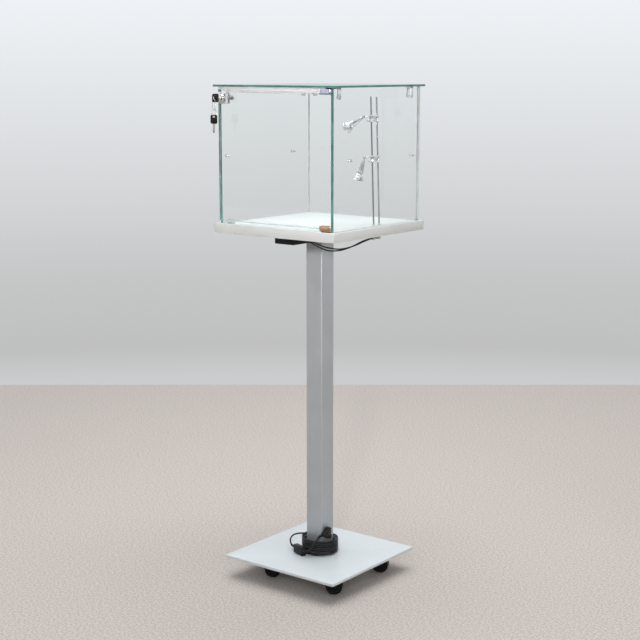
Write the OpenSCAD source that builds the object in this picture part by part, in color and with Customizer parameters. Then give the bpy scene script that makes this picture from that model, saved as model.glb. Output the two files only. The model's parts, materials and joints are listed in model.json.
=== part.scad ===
// Pedestal display case: a square glass showcase with a locking glass door, on a board
// carried by a square steel column, with a steel base plate on four twin-wheel casters.
// Millimetres. The origin is on the floor under the middle of the column, +Z is up, and
// the glass door closes the -Y side.

/* [Base] */
// Width of the square steel base plate
base_w = 420; // [360:5:600]
// Thickness of the base plate
base_t = 8; // [6:1:12]
// Corner radius of the base plate
base_corner_r = 4; // [2:1:15]
// Distance from the plate's edges in to the casters' swivel axes
caster_inset = 90; // [80:5:110]

/* [Casters] */
// Diameter of the caster wheels
wheel_d = 50; // [40:1:56]
// Width of one wheel tread
wheel_w = 14; // [10:1:16]
// Distance from the swivel axis back to the wheel axle
caster_trail = 21; // [18:1:26]
// Heading in which the casters trail, seen from above
caster_heading = 38; // [0:1:359]

/* [Column] */
// Width of the square column tube
column_w = 60; // [50:1:80]
// Wall of the column tube
column_wall = 2; // [1.5:0.5:4]
// Length of the column tube
column_h = 1006; // [600:1:1300]
// Width of the steel plate on top of the column
head_plate_w = 100; // [90:1:104]
// Thickness of the steel plate on top of the column
head_plate_t = 5; // [3:0.5:8]

/* [Board] */
// Width of the board that carries the glass, edging included
board_w = 450; // [440:1:600]
// Thickness of the board
board_t = 28; // [22:1:38]
// Thickness of the board's edging
edging_t = 1; // [0.5:0.5:3]

/* [Glass case] */
// Thickness of every sheet of glass
glass_t = 6; // [5:0.5:8]
// Height of the fixed panes
pane_h = 402; // [350:1:600]
// Distance from the edge of the board in to the panes
pane_inset = 11.5; // [8:0.5:15]
// Distance from a pane's corner in to the middle of its top brackets
bracket_inset = 35.5; // [30:0.5:90]
// Height of the shelf supports above the board
shelf_z = 198; // [80:1:300]
// Diameter of the shelf support holes in the glass
shelf_hole_d = 6; // [5:0.5:8]

/* [Door] */
// Gap between the board and the bottom edge of the door
door_gap_bottom = 8; // [8:0.5:14]
// Gap between the door and the top glass, filled by the seal
door_gap_top = 9; // [8:0.5:14]
// Gap beside the door on its hinge side
door_gap_side = 2; // [1.5:0.5:4]
// Distance from the door's hinge edge in to the pivot
pivot_inset = 7; // [6.5:0.5:8]
// Diameter of the pivot pins
pivot_d = 6; // [4:0.5:7]
// Length of a hinge clamp along the door
clamp_l = 40; // [30:1:50]
// Height of a hinge clamp
clamp_h = 15; // [12:1:20]

/* [Lock] */
// Distance from the door's free edge in to the lock
lock_inset = 24; // [22:0.5:40]
// Distance from the door's top edge down to the lock
lock_drop = 23; // [21:0.5:40]
// Width of the lock case
lock_w = 30; // [26:1:40]
// Height of the lock case
lock_h = 34; // [28:1:40]
// Diameter of the turning plug
plug_d = 13; // [11:0.5:14]
// Length of the cam from the plug axis to its tip
cam_l = 27; // [26:0.5:30]

/* [Keys] */
// Width of the plastic key heads
key_head_w = 24.5; // [22:0.5:28]
// Length of the plastic key heads
key_head_l = 26; // [22:0.5:30]
// Thickness of the plastic key heads
key_head_t = 3; // [2.5:0.1:3.2]
// Length of the wire loop between the keys
loop_l = 32; // [26:1:45]
// Outer diameter of the round ring
ring_d = 22; // [18:1:30]

/* [Lamps] */
// Diameter of the two lamp rods
rod_d = 4.5; // [4:0.5:6]
// Height of the rods above the board
rod_h = 375; // [340:1:390]
// Distance between the two rods
rod_pitch = 28; // [26:0.5:34]
// Distance from the edge of the board in to the rods
rod_inset = 33; // [33:1:75]
// Lean of the rods towards the lamps they carry
rod_lean = 2; // [0:0.5:3]
// Height of the upper lamp's clamp on the rods
upper_lamp_z = 311; // [290:1:320]
// Height of the lower lamp's clamp on the rods
lower_lamp_z = 194; // [110:1:200]
// Tilt of the upper lamp below its arm
upper_tilt = 26; // [5:1:85]
// Tilt of the lower lamp below its arm
lower_tilt = 68; // [5:1:85]
// Diameter of the reflector bulbs
bulb_d = 35; // [30:1:38]

/* [Power supply] */
// Width of the lamp driver
driver_w = 78; // [60:1:90]
// Depth of the lamp driver
driver_d = 80; // [60:1:82]
// Height of the lamp driver
driver_h = 30; // [24:1:36]
// Diameter of the low-voltage lamp leads
lead_d = 4; // [3:0.5:5]

/* [Mains lead] */
// Diameter of the mains lead
cord_d = 5; // [5:0.1:5.3]
// Height above the base plate where the mains lead leaves the column
cord_exit_z = 70; // [60:1:80]
// Number of turns wound down in the outer layer of the coil
outer_turns = 7; // [3:1:7]

/* [Hidden] */
$fn = 48;

// Clearances
eps = 0.01;            // overshoot of a cut past a face
run_fit = 0.05;        // radial clearance of a shaft in its bore
screw_fit = 0.1;       // radial clearance of a screw in its hole
gap = 0.3;             // air between pieces that move past each other

// Heights, from the floor up
caster_h = wheel_d + 14;
caster_plate_w = 42;
caster_plate_t = 2.5;
caster_hole = 16;
caster_pitch = base_w - 2 * caster_inset;
base_top = caster_h + base_t;
column_top = base_top + column_h;
board_z = column_top + head_plate_t;
board_top = board_z + board_t;
top_z = board_top + pane_h;
door_z0 = board_top + door_gap_bottom;
door_z1 = top_z - door_gap_top;

// The panes, measured from the middle of the case
pane_out = board_w / 2 - pane_inset;
pane_in = pane_out - glass_t;
bond = 0.2;
pane_reveal = 0.5;
bracket_t = 3;
bracket_w = 14;
bracket_reach = 13;
bracket_drop = 26;
boss_d = 15;
boss_t = 6;
clamp_screw_d = 5;
clamp_head_d = 9;

// The door and its pivot
door_x0 = -pane_out;
door_x1 = pane_in - door_gap_side;
door_y = -pane_out + glass_t / 2;
pivot_x = door_x1 - pivot_inset;
clamp_half = glass_t / 2 + 4;
clamp_floor = door_gap_bottom - 2.5 - gap;
foot_plate_t = 2.5;
foot_spigot_d = pivot_d + 3;
foot_spigot_h = 7;
pin_l = foot_plate_t + foot_spigot_h - 1;
socket_arm = 10;
socket_half = 7;
seal_end = pivot_x - norm([socket_arm, socket_half]) - gap;

// The lock, on the door's outer face
lock_x = door_x0 + lock_inset;
lock_z = door_z1 - lock_drop;
lock_case_t = 12;
lock_collar_l = 8;
lock_collar_d = plug_d + 7;
spigot_d = 19.4;
backplate_t = 3;
outer_face = -pane_out;
inner_face = -pane_in;
stop_w = 27.5;
stop_t = 5;
stop_h = 14;
stop_x = door_x0 + 38.5;
stop_y = inner_face + gap + stop_t / 2;
stop_screw_d = 2.5;
stop_screw_in = 10;
stop_head_d = 3.6;
stop_head_h = 2;
collar_y = outer_face - lock_case_t - lock_collar_l;
strike_gap = 2.3;
strike_t = 2;
strike_drop = 11;
cam_t = 2;
cam_w = 12;
cam_y = inner_face + strike_gap + strike_t + 0.4;
tail_d = 8;

// The keys
blade_w = 7.6;
blade_t = 2.2;
slot_clear = 0.15;
blade_in = 22;
key_neck = 5.5;
head_y = collar_y - 0.5 - key_neck;
eye_l = 10;
eye_w = 5;
eye_rim = 3;
eye_y = head_y - key_head_l + eye_rim + eye_w / 2;
wire_d = 1.6;
loop_r = 5.2;
hang_r = eye_l / 2 + 3.7;
loop_top = lock_z - hang_r + loop_r;
loop_bottom = loop_top - (loop_l - wire_d);
ring_r = (ring_d - wire_d) / 2;
ring_top = loop_bottom + wire_d + gap;
ring_bottom = ring_top - 2 * ring_r;
spare_top = ring_bottom + wire_d / 2 + gap + eye_rim;

// The rods pivot about the middle of the board's thickness when they lean
rod_x = board_w / 2 - rod_inset;
rod_y = [10.5, 10.5 + rod_pitch];
rod_mid_y = (rod_y[0] + rod_y[1]) / 2;
rod_hole_d = rod_d + board_t * tan(rod_lean) + 1;
collar_d = 9;
collar_h = 5;
nut_af = 8;
nut_h = 4;
terminal_d = 8;
terminal_h = 9;
rod_below = nut_h + terminal_h + 1;

// The lamps, in the rods' own frame
arm_l = 38;
arm_z = 5;
arm_d = 5;
barrel_d = 11;
barrel_h = 20;
bar_t = 7;
bar_h = 12;
knob_d = 9;
knob_l = 7;
knob_z = -5;
ear_r = 4;
ear_t = 2;
tongue_t = 2.6;
hinge_pin_d = 2.5;
head_start = 6;
holder_l = 42;
bulb_l = 22;
bulb_wall = 1.5;

// The driver, under the board in front of the column
driver_x0 = -66;
driver_y1 = -57;
driver_corner_r = 5;
lid_t = 3;
lug_w = 10;
outlet_z = board_z - 21;

// The mains lead
cord_bend = 20;
cord_hole_d = 12;
bush_flange_d = 17;
bush_flange_t = 1.5;
inner_r = 48.5;
layer_step = 6;
turn_step = 6.3;
inner_turns = 3.75;
coil_start = 170;
coil_oval = 1.2;
coil_base = base_top + cord_d / 2 + gap;
coil_top = coil_base + turn_step * (outer_turns + 0.25);

// Pieces on the lead
switch_l = 62;
switch_w = 18;
switch_h = 27;
switch_pos = [-32, -62];
switch_turn = -20;
rocker_l = 20;
rocker_w = 11;
rocker_room = 5;
rocker_pin_d = 2;
rocker_axis_y = -switch_w / 2 + 3;
plug_l = 36;
plug_t = 13.7;
plug_h = 35;
plug_shoulder = 12;
plug_waist = 28;
plug_neck = 9;
plug_x = column_w / 2 + 8;
plug_y = 0;
plug_z = coil_top + cord_d / 2 + 1;
pin_pitch = 19;

// ---------------------------------------------------------------- shared shapes

module rounded_square(w, d, r) {
  square([w - 2 * r, d], center = true);
  square([w, d - 2 * r], center = true);
  for (x = [-1, 1], y = [-1, 1])
    translate([x * (w / 2 - r), y * (d / 2 - r)]) circle(r);
}

module plate(w, d, t, r) {
  linear_extrude(t) rounded_square(w, d, r);
}

module at_corners(a) {
  for (x = [-a, a], y = [-a, a]) translate([x, y, 0]) children();
}

// A bore or a shaft along +Y, from y0 to y1
module along_y(d, y0, y1) {
  translate([0, y0, 0]) rotate([-90, 0, 0]) cylinder(d = d, h = y1 - y0);
}

// A bore or a shaft along +X, from x0 to x1
module along_x(d, x0, x1) {
  translate([x0, 0, 0]) rotate([0, 90, 0]) cylinder(d = d, h = x1 - x0);
}

// Countersunk screw, its flat head up at z = 0 and its shank down
module sunk_screw(d, l) {
  difference() {
    union() {
      translate([0, 0, -d / 2]) cylinder(d1 = d, d2 = 2 * d, h = d / 2);
      translate([0, 0, -l]) cylinder(d = d, h = l - d / 4);
    }
    translate([0, 0, -d * 0.3]) cylinder(d = d * 0.7, h = d, $fn = 6);
  }
}

module sunk_hole(d, l) {
  translate([0, 0, -d / 2 - screw_fit]) cylinder(d1 = d, d2 = 2 * d + 4 * screw_fit, h = d / 2 + screw_fit);
  translate([0, 0, -l]) cylinder(d = d + 2 * screw_fit, h = l);
  cylinder(d = 2 * d + 4 * screw_fit, h = eps);
}

// ---------------------------------------------------------------- swept tubes

function unit(v) = v / norm(v);
function tangent(p, i) = unit(p[min(i + 1, len(p) - 1)] - p[max(i - 1, 0)]);
function ring_at(c, t, r, n) =
  let (side = unit(cross(t, [0, 0, 1])), up = cross(side, t))
  [for (k = [0:n - 1]) c + r * (cos(360 * k / n) * side + sin(360 * k / n) * up)];

// One point between each pair of a route's own points, on a smooth curve through them
function between(p, i) =
  let (a = p[max(i - 1, 0)], b = p[i], c = p[i + 1], d = p[min(i + 2, len(p) - 1)])
  (9 * (b + c) - a - d) / 16;
function smooth(p) =
  [for (i = [0:2 * len(p) - 2]) i % 2 == 0 ? p[i / 2] : between(p, (i - 1) / 2)];

module tube(p, d, n) {
  m = len(p);
  points = [for (i = [0:m - 1]) each ring_at(p[i], tangent(p, i), d / 2, n)];
  walls = [for (i = [0:m - 2], k = [0:n - 1])
    let (a = i * n + k, b = i * n + (k + 1) % n)
    each [[a, b, b + n], [a, b + n, a + n]]];
  first_cap = [for (k = [1:n - 2]) [0, k + 1, k]];
  last_cap = [for (k = [1:n - 2]) [(m - 1) * n, (m - 1) * n + k, (m - 1) * n + k + 1]];
  polyhedron(points, concat(walls, first_cap, last_cap));
}

// Least distance between parts of one route that are more than half a turn apart
function self_gap(p, d, skip) =
  min([for (i = [0:len(p) - 1 - skip])
    min([for (j = [i + skip:len(p) - 1]) norm(p[i] - p[j])])]) - d;

// ---------------------------------------------------------------- routes of the cords

lead_front = [[12, -82, -21], [20, -81, -22], [34, -74, -31], [52, -63, -42], [70, -52, -49],
  [88, -41, -50], [106, -31, -47], [124, -20, -40], [142, -9, -30], [158, 1, -20],
  [172, 8, -14], [181, 10.5, -12], [188, 10.5, -12]];
lead_back = [[12, -73, -21], [20, -72, -22], [36, -63, -30], [54, -51, -39], [72, -38, -44],
  [92, -25, -46], [112, -12, -42], [130, 1, -35], [146, 13, -26], [160, 26, -18],
  [171, 35, -13], [180, 38.5, -12], [188, 38.5, -12]];
lead_in = [[0, 33, 70], [0, 40, 70], [-3, 50, 69.5], [-11, 57.5, 67.5], [-22, 58.5, 64],
  [-33, 53, 60], [-42.5, 43, 56], [-49, 31, 53], [-52.5, 19, 50]];
lead_out = [[-48.8, 0, 46.5], [-48.5, -9, 49.5], [-48, -18, 52.5], [-50, -27, 54.5],
  [-56, -35, 55], [-65, -39.5, 52.5], [-75, -40, 47], [-84, -38, 39], [-90, -36, 29],
  [-89, -37, 19], [-81, -41.5, 14], [-72, -46, 13.5], [-61.2, -51.4, 13.5]];
tail = [[38, -36, 0], [38, -46, -1], [37, -56, -5], [35, -65, -12], [32, -72, -21],
  [28, -77, -31], [22, -79.5, -40], [14, -79, -47], [5, -76.2, -51.5], [-2.8, -72.6, -53.5]];

function raise(p, z) = [for (q = p) q + [0, 0, z]];

// A lamp lead's route, drawn out along X from the driver's side to the rods
function reach(p) =
  let (x0 = driver_x0 + driver_w, x1 = rod_x - terminal_d / 2, first = p[0][0],
    stretch = (x1 - x0) / (p[len(p) - 1][0] - first))
  [for (q = p) [x0 + (q[0] - first) * stretch, q[1], q[2]]];

// The coil: down in the outer layer, inwards in a quarter turn, and up in a steeper inner layer
function ease(s) = (1 - cos(180 * min(max(s, 0), 1))) / 2;
function coil_angle(u) = coil_start + 360 * u;
function coil_radius(u) = inner_r + layer_step * (1 - ease((u - outer_turns) * 4))
  + coil_oval * cos(2 * coil_angle(u));
down_turns = outer_turns + 0.25;
inner_step = turn_step * (down_turns - 0.5) / inner_turns;
function coil_height(u) = coil_base
  + (u < down_turns ? turn_step * (down_turns - u) : inner_step * (u - down_turns));
coil_turns = down_turns + inner_turns;
coil_points = [for (i = [0:24 * coil_turns])
  let (u = i / 24)
  [coil_radius(u) * cos(coil_angle(u)), coil_radius(u) * sin(coil_angle(u)), coil_height(u)]];
coil_route = concat(raise(lead_in, base_top), coil_points, raise(lead_out, base_top));
echo(coil_least_gap_mm = self_gap(coil_route, cord_d, 12));

// ---------------------------------------------------------------- base and casters

module base_plate() {
  color("gainsboro")
  difference() {
    translate([0, 0, caster_h]) plate(base_w, base_w, base_t, base_corner_r);
    translate([0, 0, caster_h]) at_corners(column_w / 4) mirror([0, 0, 1]) sunk_hole(8, base_t + 1);
    at_corners(caster_pitch / 2) at_corners(caster_hole)
      translate([0, 0, caster_h - eps]) cylinder(d = 4 + 2 * screw_fit, h = base_t - 2);
  }
}

module caster_plates() {
  color("dimgray")
  at_corners(caster_pitch / 2) {
    difference() {
      union() {
        translate([0, 0, caster_h - caster_plate_t])
          plate(caster_plate_w, caster_plate_w, caster_plate_t, 5);
        translate([0, 0, caster_h - 6]) cylinder(d = 22, h = 4);
        translate([0, 0, wheel_d / 2 + 10]) cylinder(d = 8, h = caster_h - wheel_d / 2 - 11);
      }
      at_corners(caster_hole) translate([0, 0, caster_h - 3]) cylinder(d = 4 + 2 * screw_fit, h = 4);
    }
    at_corners(caster_hole) {
      translate([0, 0, caster_h - caster_plate_t]) cylinder(d = 4, h = base_t - 1);
      translate([0, 0, caster_h - caster_plate_t - 2]) cylinder(d1 = 6, d2 = 7.5, h = 2);
    }
  }
}

// Puts a caster's moving pieces at its swivel axis; local -X points at the trailing wheel
module at_caster(x, y) {
  translate([x * caster_pitch / 2, y * caster_pitch / 2, 0]) rotate([0, 0, caster_heading + 180]) children();
}

module caster_hood(x, y) {
  fender_r = wheel_d / 2 + 3;
  color("black")
  at_caster(x, y)
  difference() {
    union() {
      translate([0, 0, wheel_d / 2 - 4]) cylinder(d = 16, h = caster_h - 6 - gap - wheel_d / 2 + 4);
      translate([-caster_trail, 0, wheel_d / 2]) along_y(wheel_d - 12, -4, 4);
      translate([-caster_trail, -4, wheel_d / 2 + 6]) cube([caster_trail, 8, fender_r - 8]);
      translate([-caster_trail, 0, wheel_d / 2]) rotate([90, 0, 0])
        translate([0, 0, -wheel_w - 10])
        linear_extrude(2 * wheel_w + 20) difference() {
          circle(fender_r);
          circle(fender_r - 2);
          translate([-2 * fender_r, -4 * fender_r]) square(4 * fender_r);
          translate([caster_trail - 6, -fender_r]) square(2 * fender_r);
        }
    }
    translate([0, 0, wheel_d / 2 + 9]) cylinder(d = 8 + 2 * run_fit, h = wheel_d);
    translate([-caster_trail, 0, wheel_d / 2]) along_y(6 + 2 * run_fit, -10, 10);
  }
}

module caster_wheels(x, y) {
  r = wheel_d / 2;
  color("#202022")
  at_caster(x, y)
  translate([-caster_trail, 0, r]) {
    for (s = [-1, 1])
      translate([0, s * 9, 0]) rotate([-90 * s, 0, 0])
        rotate_extrude() polygon([[3 + run_fit, 0], [r - 1.5, 0], [r, 1.5], [r, wheel_w - 2.5],
          [r - 2.5, wheel_w], [r - 5, wheel_w], [r - 6, wheel_w - 2.5], [8, wheel_w - 2.5],
          [6.5, wheel_w], [3 + run_fit, wheel_w]]);
    along_y(6, -wheel_w - 9.5, wheel_w + 9.5);
  }
}

// ---------------------------------------------------------------- column

module foot_insert() {
  w = column_w - 2 * column_wall - 0.4;
  color("slategray")
  translate([0, 0, base_top])
  difference() {
    plate(w, w, 12, 1.5);
    at_corners(column_w / 4) translate([0, 0, -1]) cylinder(d = 8 + 2 * screw_fit, h = 14);
  }
}

module column() {
  color("#a4a9ac")
  difference() {
    translate([0, 0, base_top]) linear_extrude(column_h) difference() {
      rounded_square(column_w, column_w, 3);
      rounded_square(column_w - 2 * column_wall, column_w - 2 * column_wall, 1);
    }
    translate([0, 0, outlet_z]) along_y(cord_hole_d, -column_w, 0);
    translate([0, 0, base_top + cord_exit_z]) along_y(cord_hole_d, 0, column_w);
  }
}

// Rubber bush in the column wall, its flange outside
module grommet() {
  rotate([-90, 0, 0]) difference() {
    union() {
      cylinder(d = bush_flange_d, h = bush_flange_t);
      translate([0, 0, -column_wall]) cylinder(d = cord_hole_d - 0.2, h = column_wall + 1);
    }
    translate([0, 0, -column_wall - 1]) cylinder(d = cord_d + gap, h = column_wall + bush_flange_t + 2);
  }
}

module column_grommets() {
  color("#222222") {
    translate([0, -column_w / 2, outlet_z]) mirror([0, 1, 0]) grommet();
    translate([0, column_w / 2, base_top + cord_exit_z]) grommet();
  }
}

module head_plate() {
  color("#a4a9ac")
  difference() {
    translate([0, 0, column_top]) plate(head_plate_w, head_plate_w, head_plate_t, 6);
    translate([0, 0, column_top - 1]) cylinder(d = head_bore_d, h = head_plate_t + 2);
    at_corners(head_plate_w / 2 - 9)
      translate([0, 0, column_top - 1]) cylinder(d = 5.2, h = head_plate_t + 2);
  }
}

// ---------------------------------------------------------------- board

head_bore_d = 30;
driver_mid_y = driver_y1 - driver_d / 2;
driver_lug_x = [driver_x0 - lug_w / 2, driver_x0 + driver_w + lug_w / 2];
foot_screw_x = [pivot_x - 22, pivot_x - 11];

// Round-headed wood screw driven upwards, its head's seat at z = 0
module wood_screw(l) {
  cylinder(d = 4, h = l);
  translate([0, 0, -1.4]) cylinder(d1 = 6, d2 = 8, h = 1.4);
  translate([0, 0, -2.4]) cylinder(d1 = 3, d2 = 6, h = 1);
}

// The screws that hold the column, driver, hinge foot and door stop
module mounting_screws() {
  color("silver") {
    translate([0, 0, caster_h]) at_corners(column_w / 4) mirror([0, 0, 1])
      sunk_screw(8, base_t + 10);
    at_corners(head_plate_w / 2 - 9) translate([0, 0, column_top]) wood_screw(head_plate_t + 16);
    for (x = driver_lug_x) translate([x, driver_mid_y, board_z - lid_t]) wood_screw(lid_t + 14);
    for (x = foot_screw_x) translate([x, door_y, board_top + foot_plate_t]) sunk_screw(3, 14);
    at_stop_screws() {
      translate([0, 0, -stop_screw_in]) cylinder(d = stop_screw_d, h = stop_screw_in + stop_h / 2);
      translate([0, 0, stop_h / 2 - stop_head_h]) cylinder(d = stop_head_d, h = stop_head_h);
    }
  }
}

module board() {
  w = board_w - 2 * edging_t;
  color("white")
  difference() {
    translate([0, 0, board_z]) plate(w, w, board_t, 1);
    for (y = rod_y) translate([rod_x, y, board_z - 1]) cylinder(d = rod_hole_d, h = board_t + 2);
    at_corners(head_plate_w / 2 - 9)
      translate([0, 0, board_z - eps]) cylinder(d = 4 + 2 * screw_fit, h = 17);
    for (x = driver_lug_x)
      translate([x, driver_mid_y, board_z - eps]) cylinder(d = 4 + 2 * screw_fit, h = 15);
    for (x = foot_screw_x)
      translate([x, door_y, board_top - 12]) cylinder(d = 3 + 2 * screw_fit, h = 13);
    at_stop_screws() translate([0, 0, -stop_screw_in - 1])
      cylinder(d = stop_screw_d + 2 * screw_fit, h = stop_screw_in + 2);
    translate([pivot_x, door_y, board_top - foot_spigot_h - 0.5])
      cylinder(d = foot_spigot_d + 2 * screw_fit, h = foot_spigot_h + 1);
  }
}

module board_edging() {
  color("#dcdcda")
  translate([0, 0, board_z]) linear_extrude(board_t) difference() {
    rounded_square(board_w, board_w, 2);
    rounded_square(board_w - 2 * edging_t, board_w - 2 * edging_t, 1);
  }
}

// ---------------------------------------------------------------- glass case

// Shelf support holes of a side pane: one 33 mm from an edge, the other 83 mm from the other
shelf_y = [-(pane_out - 83), pane_out - 33];

module shelf_holes(side) {
  for (y = shelf_y)
    translate([0, side * y, board_top + shelf_z]) along_x(shelf_hole_d, -board_w, board_w);
}

module pane_left() {
  y0 = -pane_in + pane_reveal;
  color("#cfe8e2", 0.4)
  difference() {
    translate([-pane_out, y0, board_top]) cube([glass_t, pane_out - y0, pane_h]);
    shelf_holes(-1);
  }
}

module pane_right() {
  color("#cfe8e2", 0.4)
  difference() {
    translate([pane_in, -pane_out, board_top]) cube([glass_t, 2 * pane_out, pane_h]);
    shelf_holes(1);
  }
}

module pane_back() {
  w = 2 * (pane_in - bond);
  color("#cfe8e2", 0.4)
  translate([-w / 2, pane_in, board_top]) cube([w, glass_t, pane_h]);
}

module top_glass() {
  color("#bfe0d8", 0.5)
  translate([0, 0, top_z]) plate(board_w, board_w, glass_t, 2);
}

// Each bracket frame: origin on a pane's inner face at the top glass, +X into the case
module at_brackets() {
  a = pane_out - bracket_inset;
  for (y = [-a, a]) {
    translate([-pane_in, y, top_z]) children();
    translate([pane_in, y, top_z]) rotate([0, 0, 180]) children();
    translate([y, pane_in, top_z]) rotate([0, 0, -90]) children();
  }
}

module top_brackets() {
  color("silver")
  at_brackets()
  difference() {
    union() {
      translate([0, -bracket_w / 2, -bracket_t]) cube([bracket_reach, bracket_w, bracket_t]);
      translate([0, -bracket_w / 2, -bracket_drop]) cube([bracket_t, bracket_w, bracket_drop]);
      translate([0, 0, -bracket_drop]) along_x(boss_d, 0, boss_t);
      rotate([90, 0, 0]) translate([0, 0, -bracket_t / 2]) linear_extrude(bracket_t)
        polygon([[bracket_t - 0.5, -bracket_t + 0.5], [bracket_reach - 3, -bracket_t + 0.5],
          [bracket_t - 0.5, -4 * bracket_t]]);
    }
    translate([0, 0, -bracket_drop]) along_x(clamp_screw_d + 2 * screw_fit, 1, boss_t + 1);
  }
}

module bracket_screws() {
  head_x = boss_t + 1.4;
  color("gainsboro")
  at_brackets() translate([0, 0, -bracket_drop]) difference() {
    union() {
      along_x(clamp_screw_d, 1.2, boss_t + 0.5);
      along_x(clamp_head_d, boss_t, head_x);
      translate([head_x, 0, 0]) rotate([0, 90, 0])
        cylinder(d1 = clamp_head_d, d2 = 0.7 * clamp_head_d, h = 1);
    }
    translate([head_x - 1, 0, 0]) rotate([0, 90, 0]) cylinder(d = 3.4, h = 4, $fn = 6);
  }
}

module shelf_pins() {
  color("white")
  for (side = [-1, 1], y = shelf_y)
    translate([side * pane_in, side * y, board_top + shelf_z])
      mirror([side < 0 ? 1 : 0, 0, 0]) {
        along_x(shelf_hole_d - 0.2, -9, glass_t);
        along_x(9, -2, 0);
        along_x(9, glass_t, glass_t + 1.5);
      }
}

// ---------------------------------------------------------------- door fittings on the case

// The door stop stands on the board right behind the door, near its free edge
module at_stop_screws() {
  for (x = [-stop_w / 6, stop_w / 6]) translate([stop_x + x, stop_y, board_top]) children();
}

module stop_block() {
  color("#e3eaea", 0.7)
  difference() {
    translate([stop_x, stop_y, board_top]) plate(stop_w, stop_t, stop_h, stop_t / 2 - 0.1);
    at_stop_screws() {
      translate([0, 0, -1]) cylinder(d = stop_screw_d + 2 * screw_fit, h = stop_h);
      translate([0, 0, stop_h / 2 - stop_head_h - screw_fit])
        cylinder(d = stop_head_d + 2 * screw_fit, h = stop_h);
    }
  }
}

module hinge_foot() {
  x0 = pivot_x - 27;
  color("#1c1c1e")
  difference() {
    union() {
      translate([x0 + 2, door_y - 7, board_top]) cube([pivot_x - x0 - 2, 14, foot_plate_t]);
      translate([x0, door_y - 5, board_top]) cube([4, 10, foot_plate_t]);
      for (y = [-5, 5]) translate([x0 + 2, door_y + y, board_top]) cylinder(d = 4, h = foot_plate_t);
      translate([pivot_x, door_y, board_top]) cylinder(d = 14, h = foot_plate_t);
      translate([pivot_x, door_y, board_top - foot_spigot_h])
        cylinder(d = foot_spigot_d, h = foot_spigot_h + 1);
    }
    translate([pivot_x, door_y, board_top - foot_spigot_h - 1])
      cylinder(d = pivot_d + 2 * run_fit, h = foot_spigot_h + foot_plate_t + 2);
    for (x = foot_screw_x) translate([x, door_y, board_top + foot_plate_t]) sunk_hole(3, foot_plate_t + 1);
  }
}

module hinge_top_socket() {
  t = door_gap_top - clamp_floor - gap;
  color("#1c1c1e")
  difference() {
    union() {
      translate([pivot_x - socket_arm, door_y - socket_half, top_z - t])
        cube([socket_arm, 2 * socket_half, t]);
      translate([pivot_x - 6, door_y, top_z - t]) cube([6 + socket_half, 18, t]);
      translate([pivot_x, door_y, top_z - t]) cylinder(r = socket_half, h = t);
    }
    translate([pivot_x, door_y, top_z - t - 1]) cylinder(d = pivot_d + 2 * run_fit, h = t + 0.6);
  }
}

module strike() {
  y0 = inner_face + strike_gap;
  color("silver")
  translate([lock_x, y0, top_z]) {
    translate([-10.5, 0, -strike_drop]) cube([21, strike_t, strike_drop]);
    translate([-10.5, 0, -2]) cube([21, 15, 2]);
  }
}

// ---------------------------------------------------------------- lamp rods

// The rods' frame: origin in the board's middle plane between the rods, +Z up the rods
module on_rods() {
  translate([rod_x, rod_mid_y, board_top - board_t / 2]) rotate([0, -rod_lean, 0]) children();
}

half_board = board_t / 2 / cos(rod_lean);
function lift(d) = d / 2 * tan(rod_lean) + 0.05;

module at_rods() {
  for (y = [-rod_pitch / 2, rod_pitch / 2]) translate([0, y, 0]) children();
}

module lamp_rods() {
  color("#8d9193")
  on_rods() at_rods() {
    translate([0, 0, -half_board - rod_below])
      cylinder(d = rod_d, h = 2 * half_board + rod_below + rod_h - 1);
    translate([0, 0, half_board + rod_h - 1]) cylinder(d1 = rod_d, d2 = rod_d - 2, h = 1);
  }
}

module rod_collars() {
  color("#e8e6e0")
  on_rods() at_rods() translate([0, 0, half_board + lift(collar_d)]) difference() {
    union() {
      cylinder(d = collar_d, h = 2.5);
      translate([0, 0, 2.5]) cylinder(d1 = collar_d - 1, d2 = rod_d + 2, h = collar_h - 2.5);
    }
    translate([0, 0, -1]) cylinder(d = rod_d + 2 * run_fit, h = collar_h + 2);
  }
}

module rod_nuts() {
  color("silver")
  on_rods() at_rods() translate([0, 0, -half_board - lift(nut_af * 1.2)]) difference() {
    union() {
      translate([0, 0, -nut_h]) cylinder(d = nut_af / cos(30), h = nut_h, $fn = 6);
      translate([0, 0, -nut_h - terminal_h]) cylinder(d = terminal_d, h = terminal_h + 0.5);
    }
    translate([0, 0, -nut_h - terminal_h - 1]) cylinder(d = rod_d + 2 * run_fit, h = nut_h + terminal_h + 2);
  }
}

// ---------------------------------------------------------------- lamps

module at_lamp(z) {
  on_rods() translate([0, 0, half_board + z]) children();
}

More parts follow.
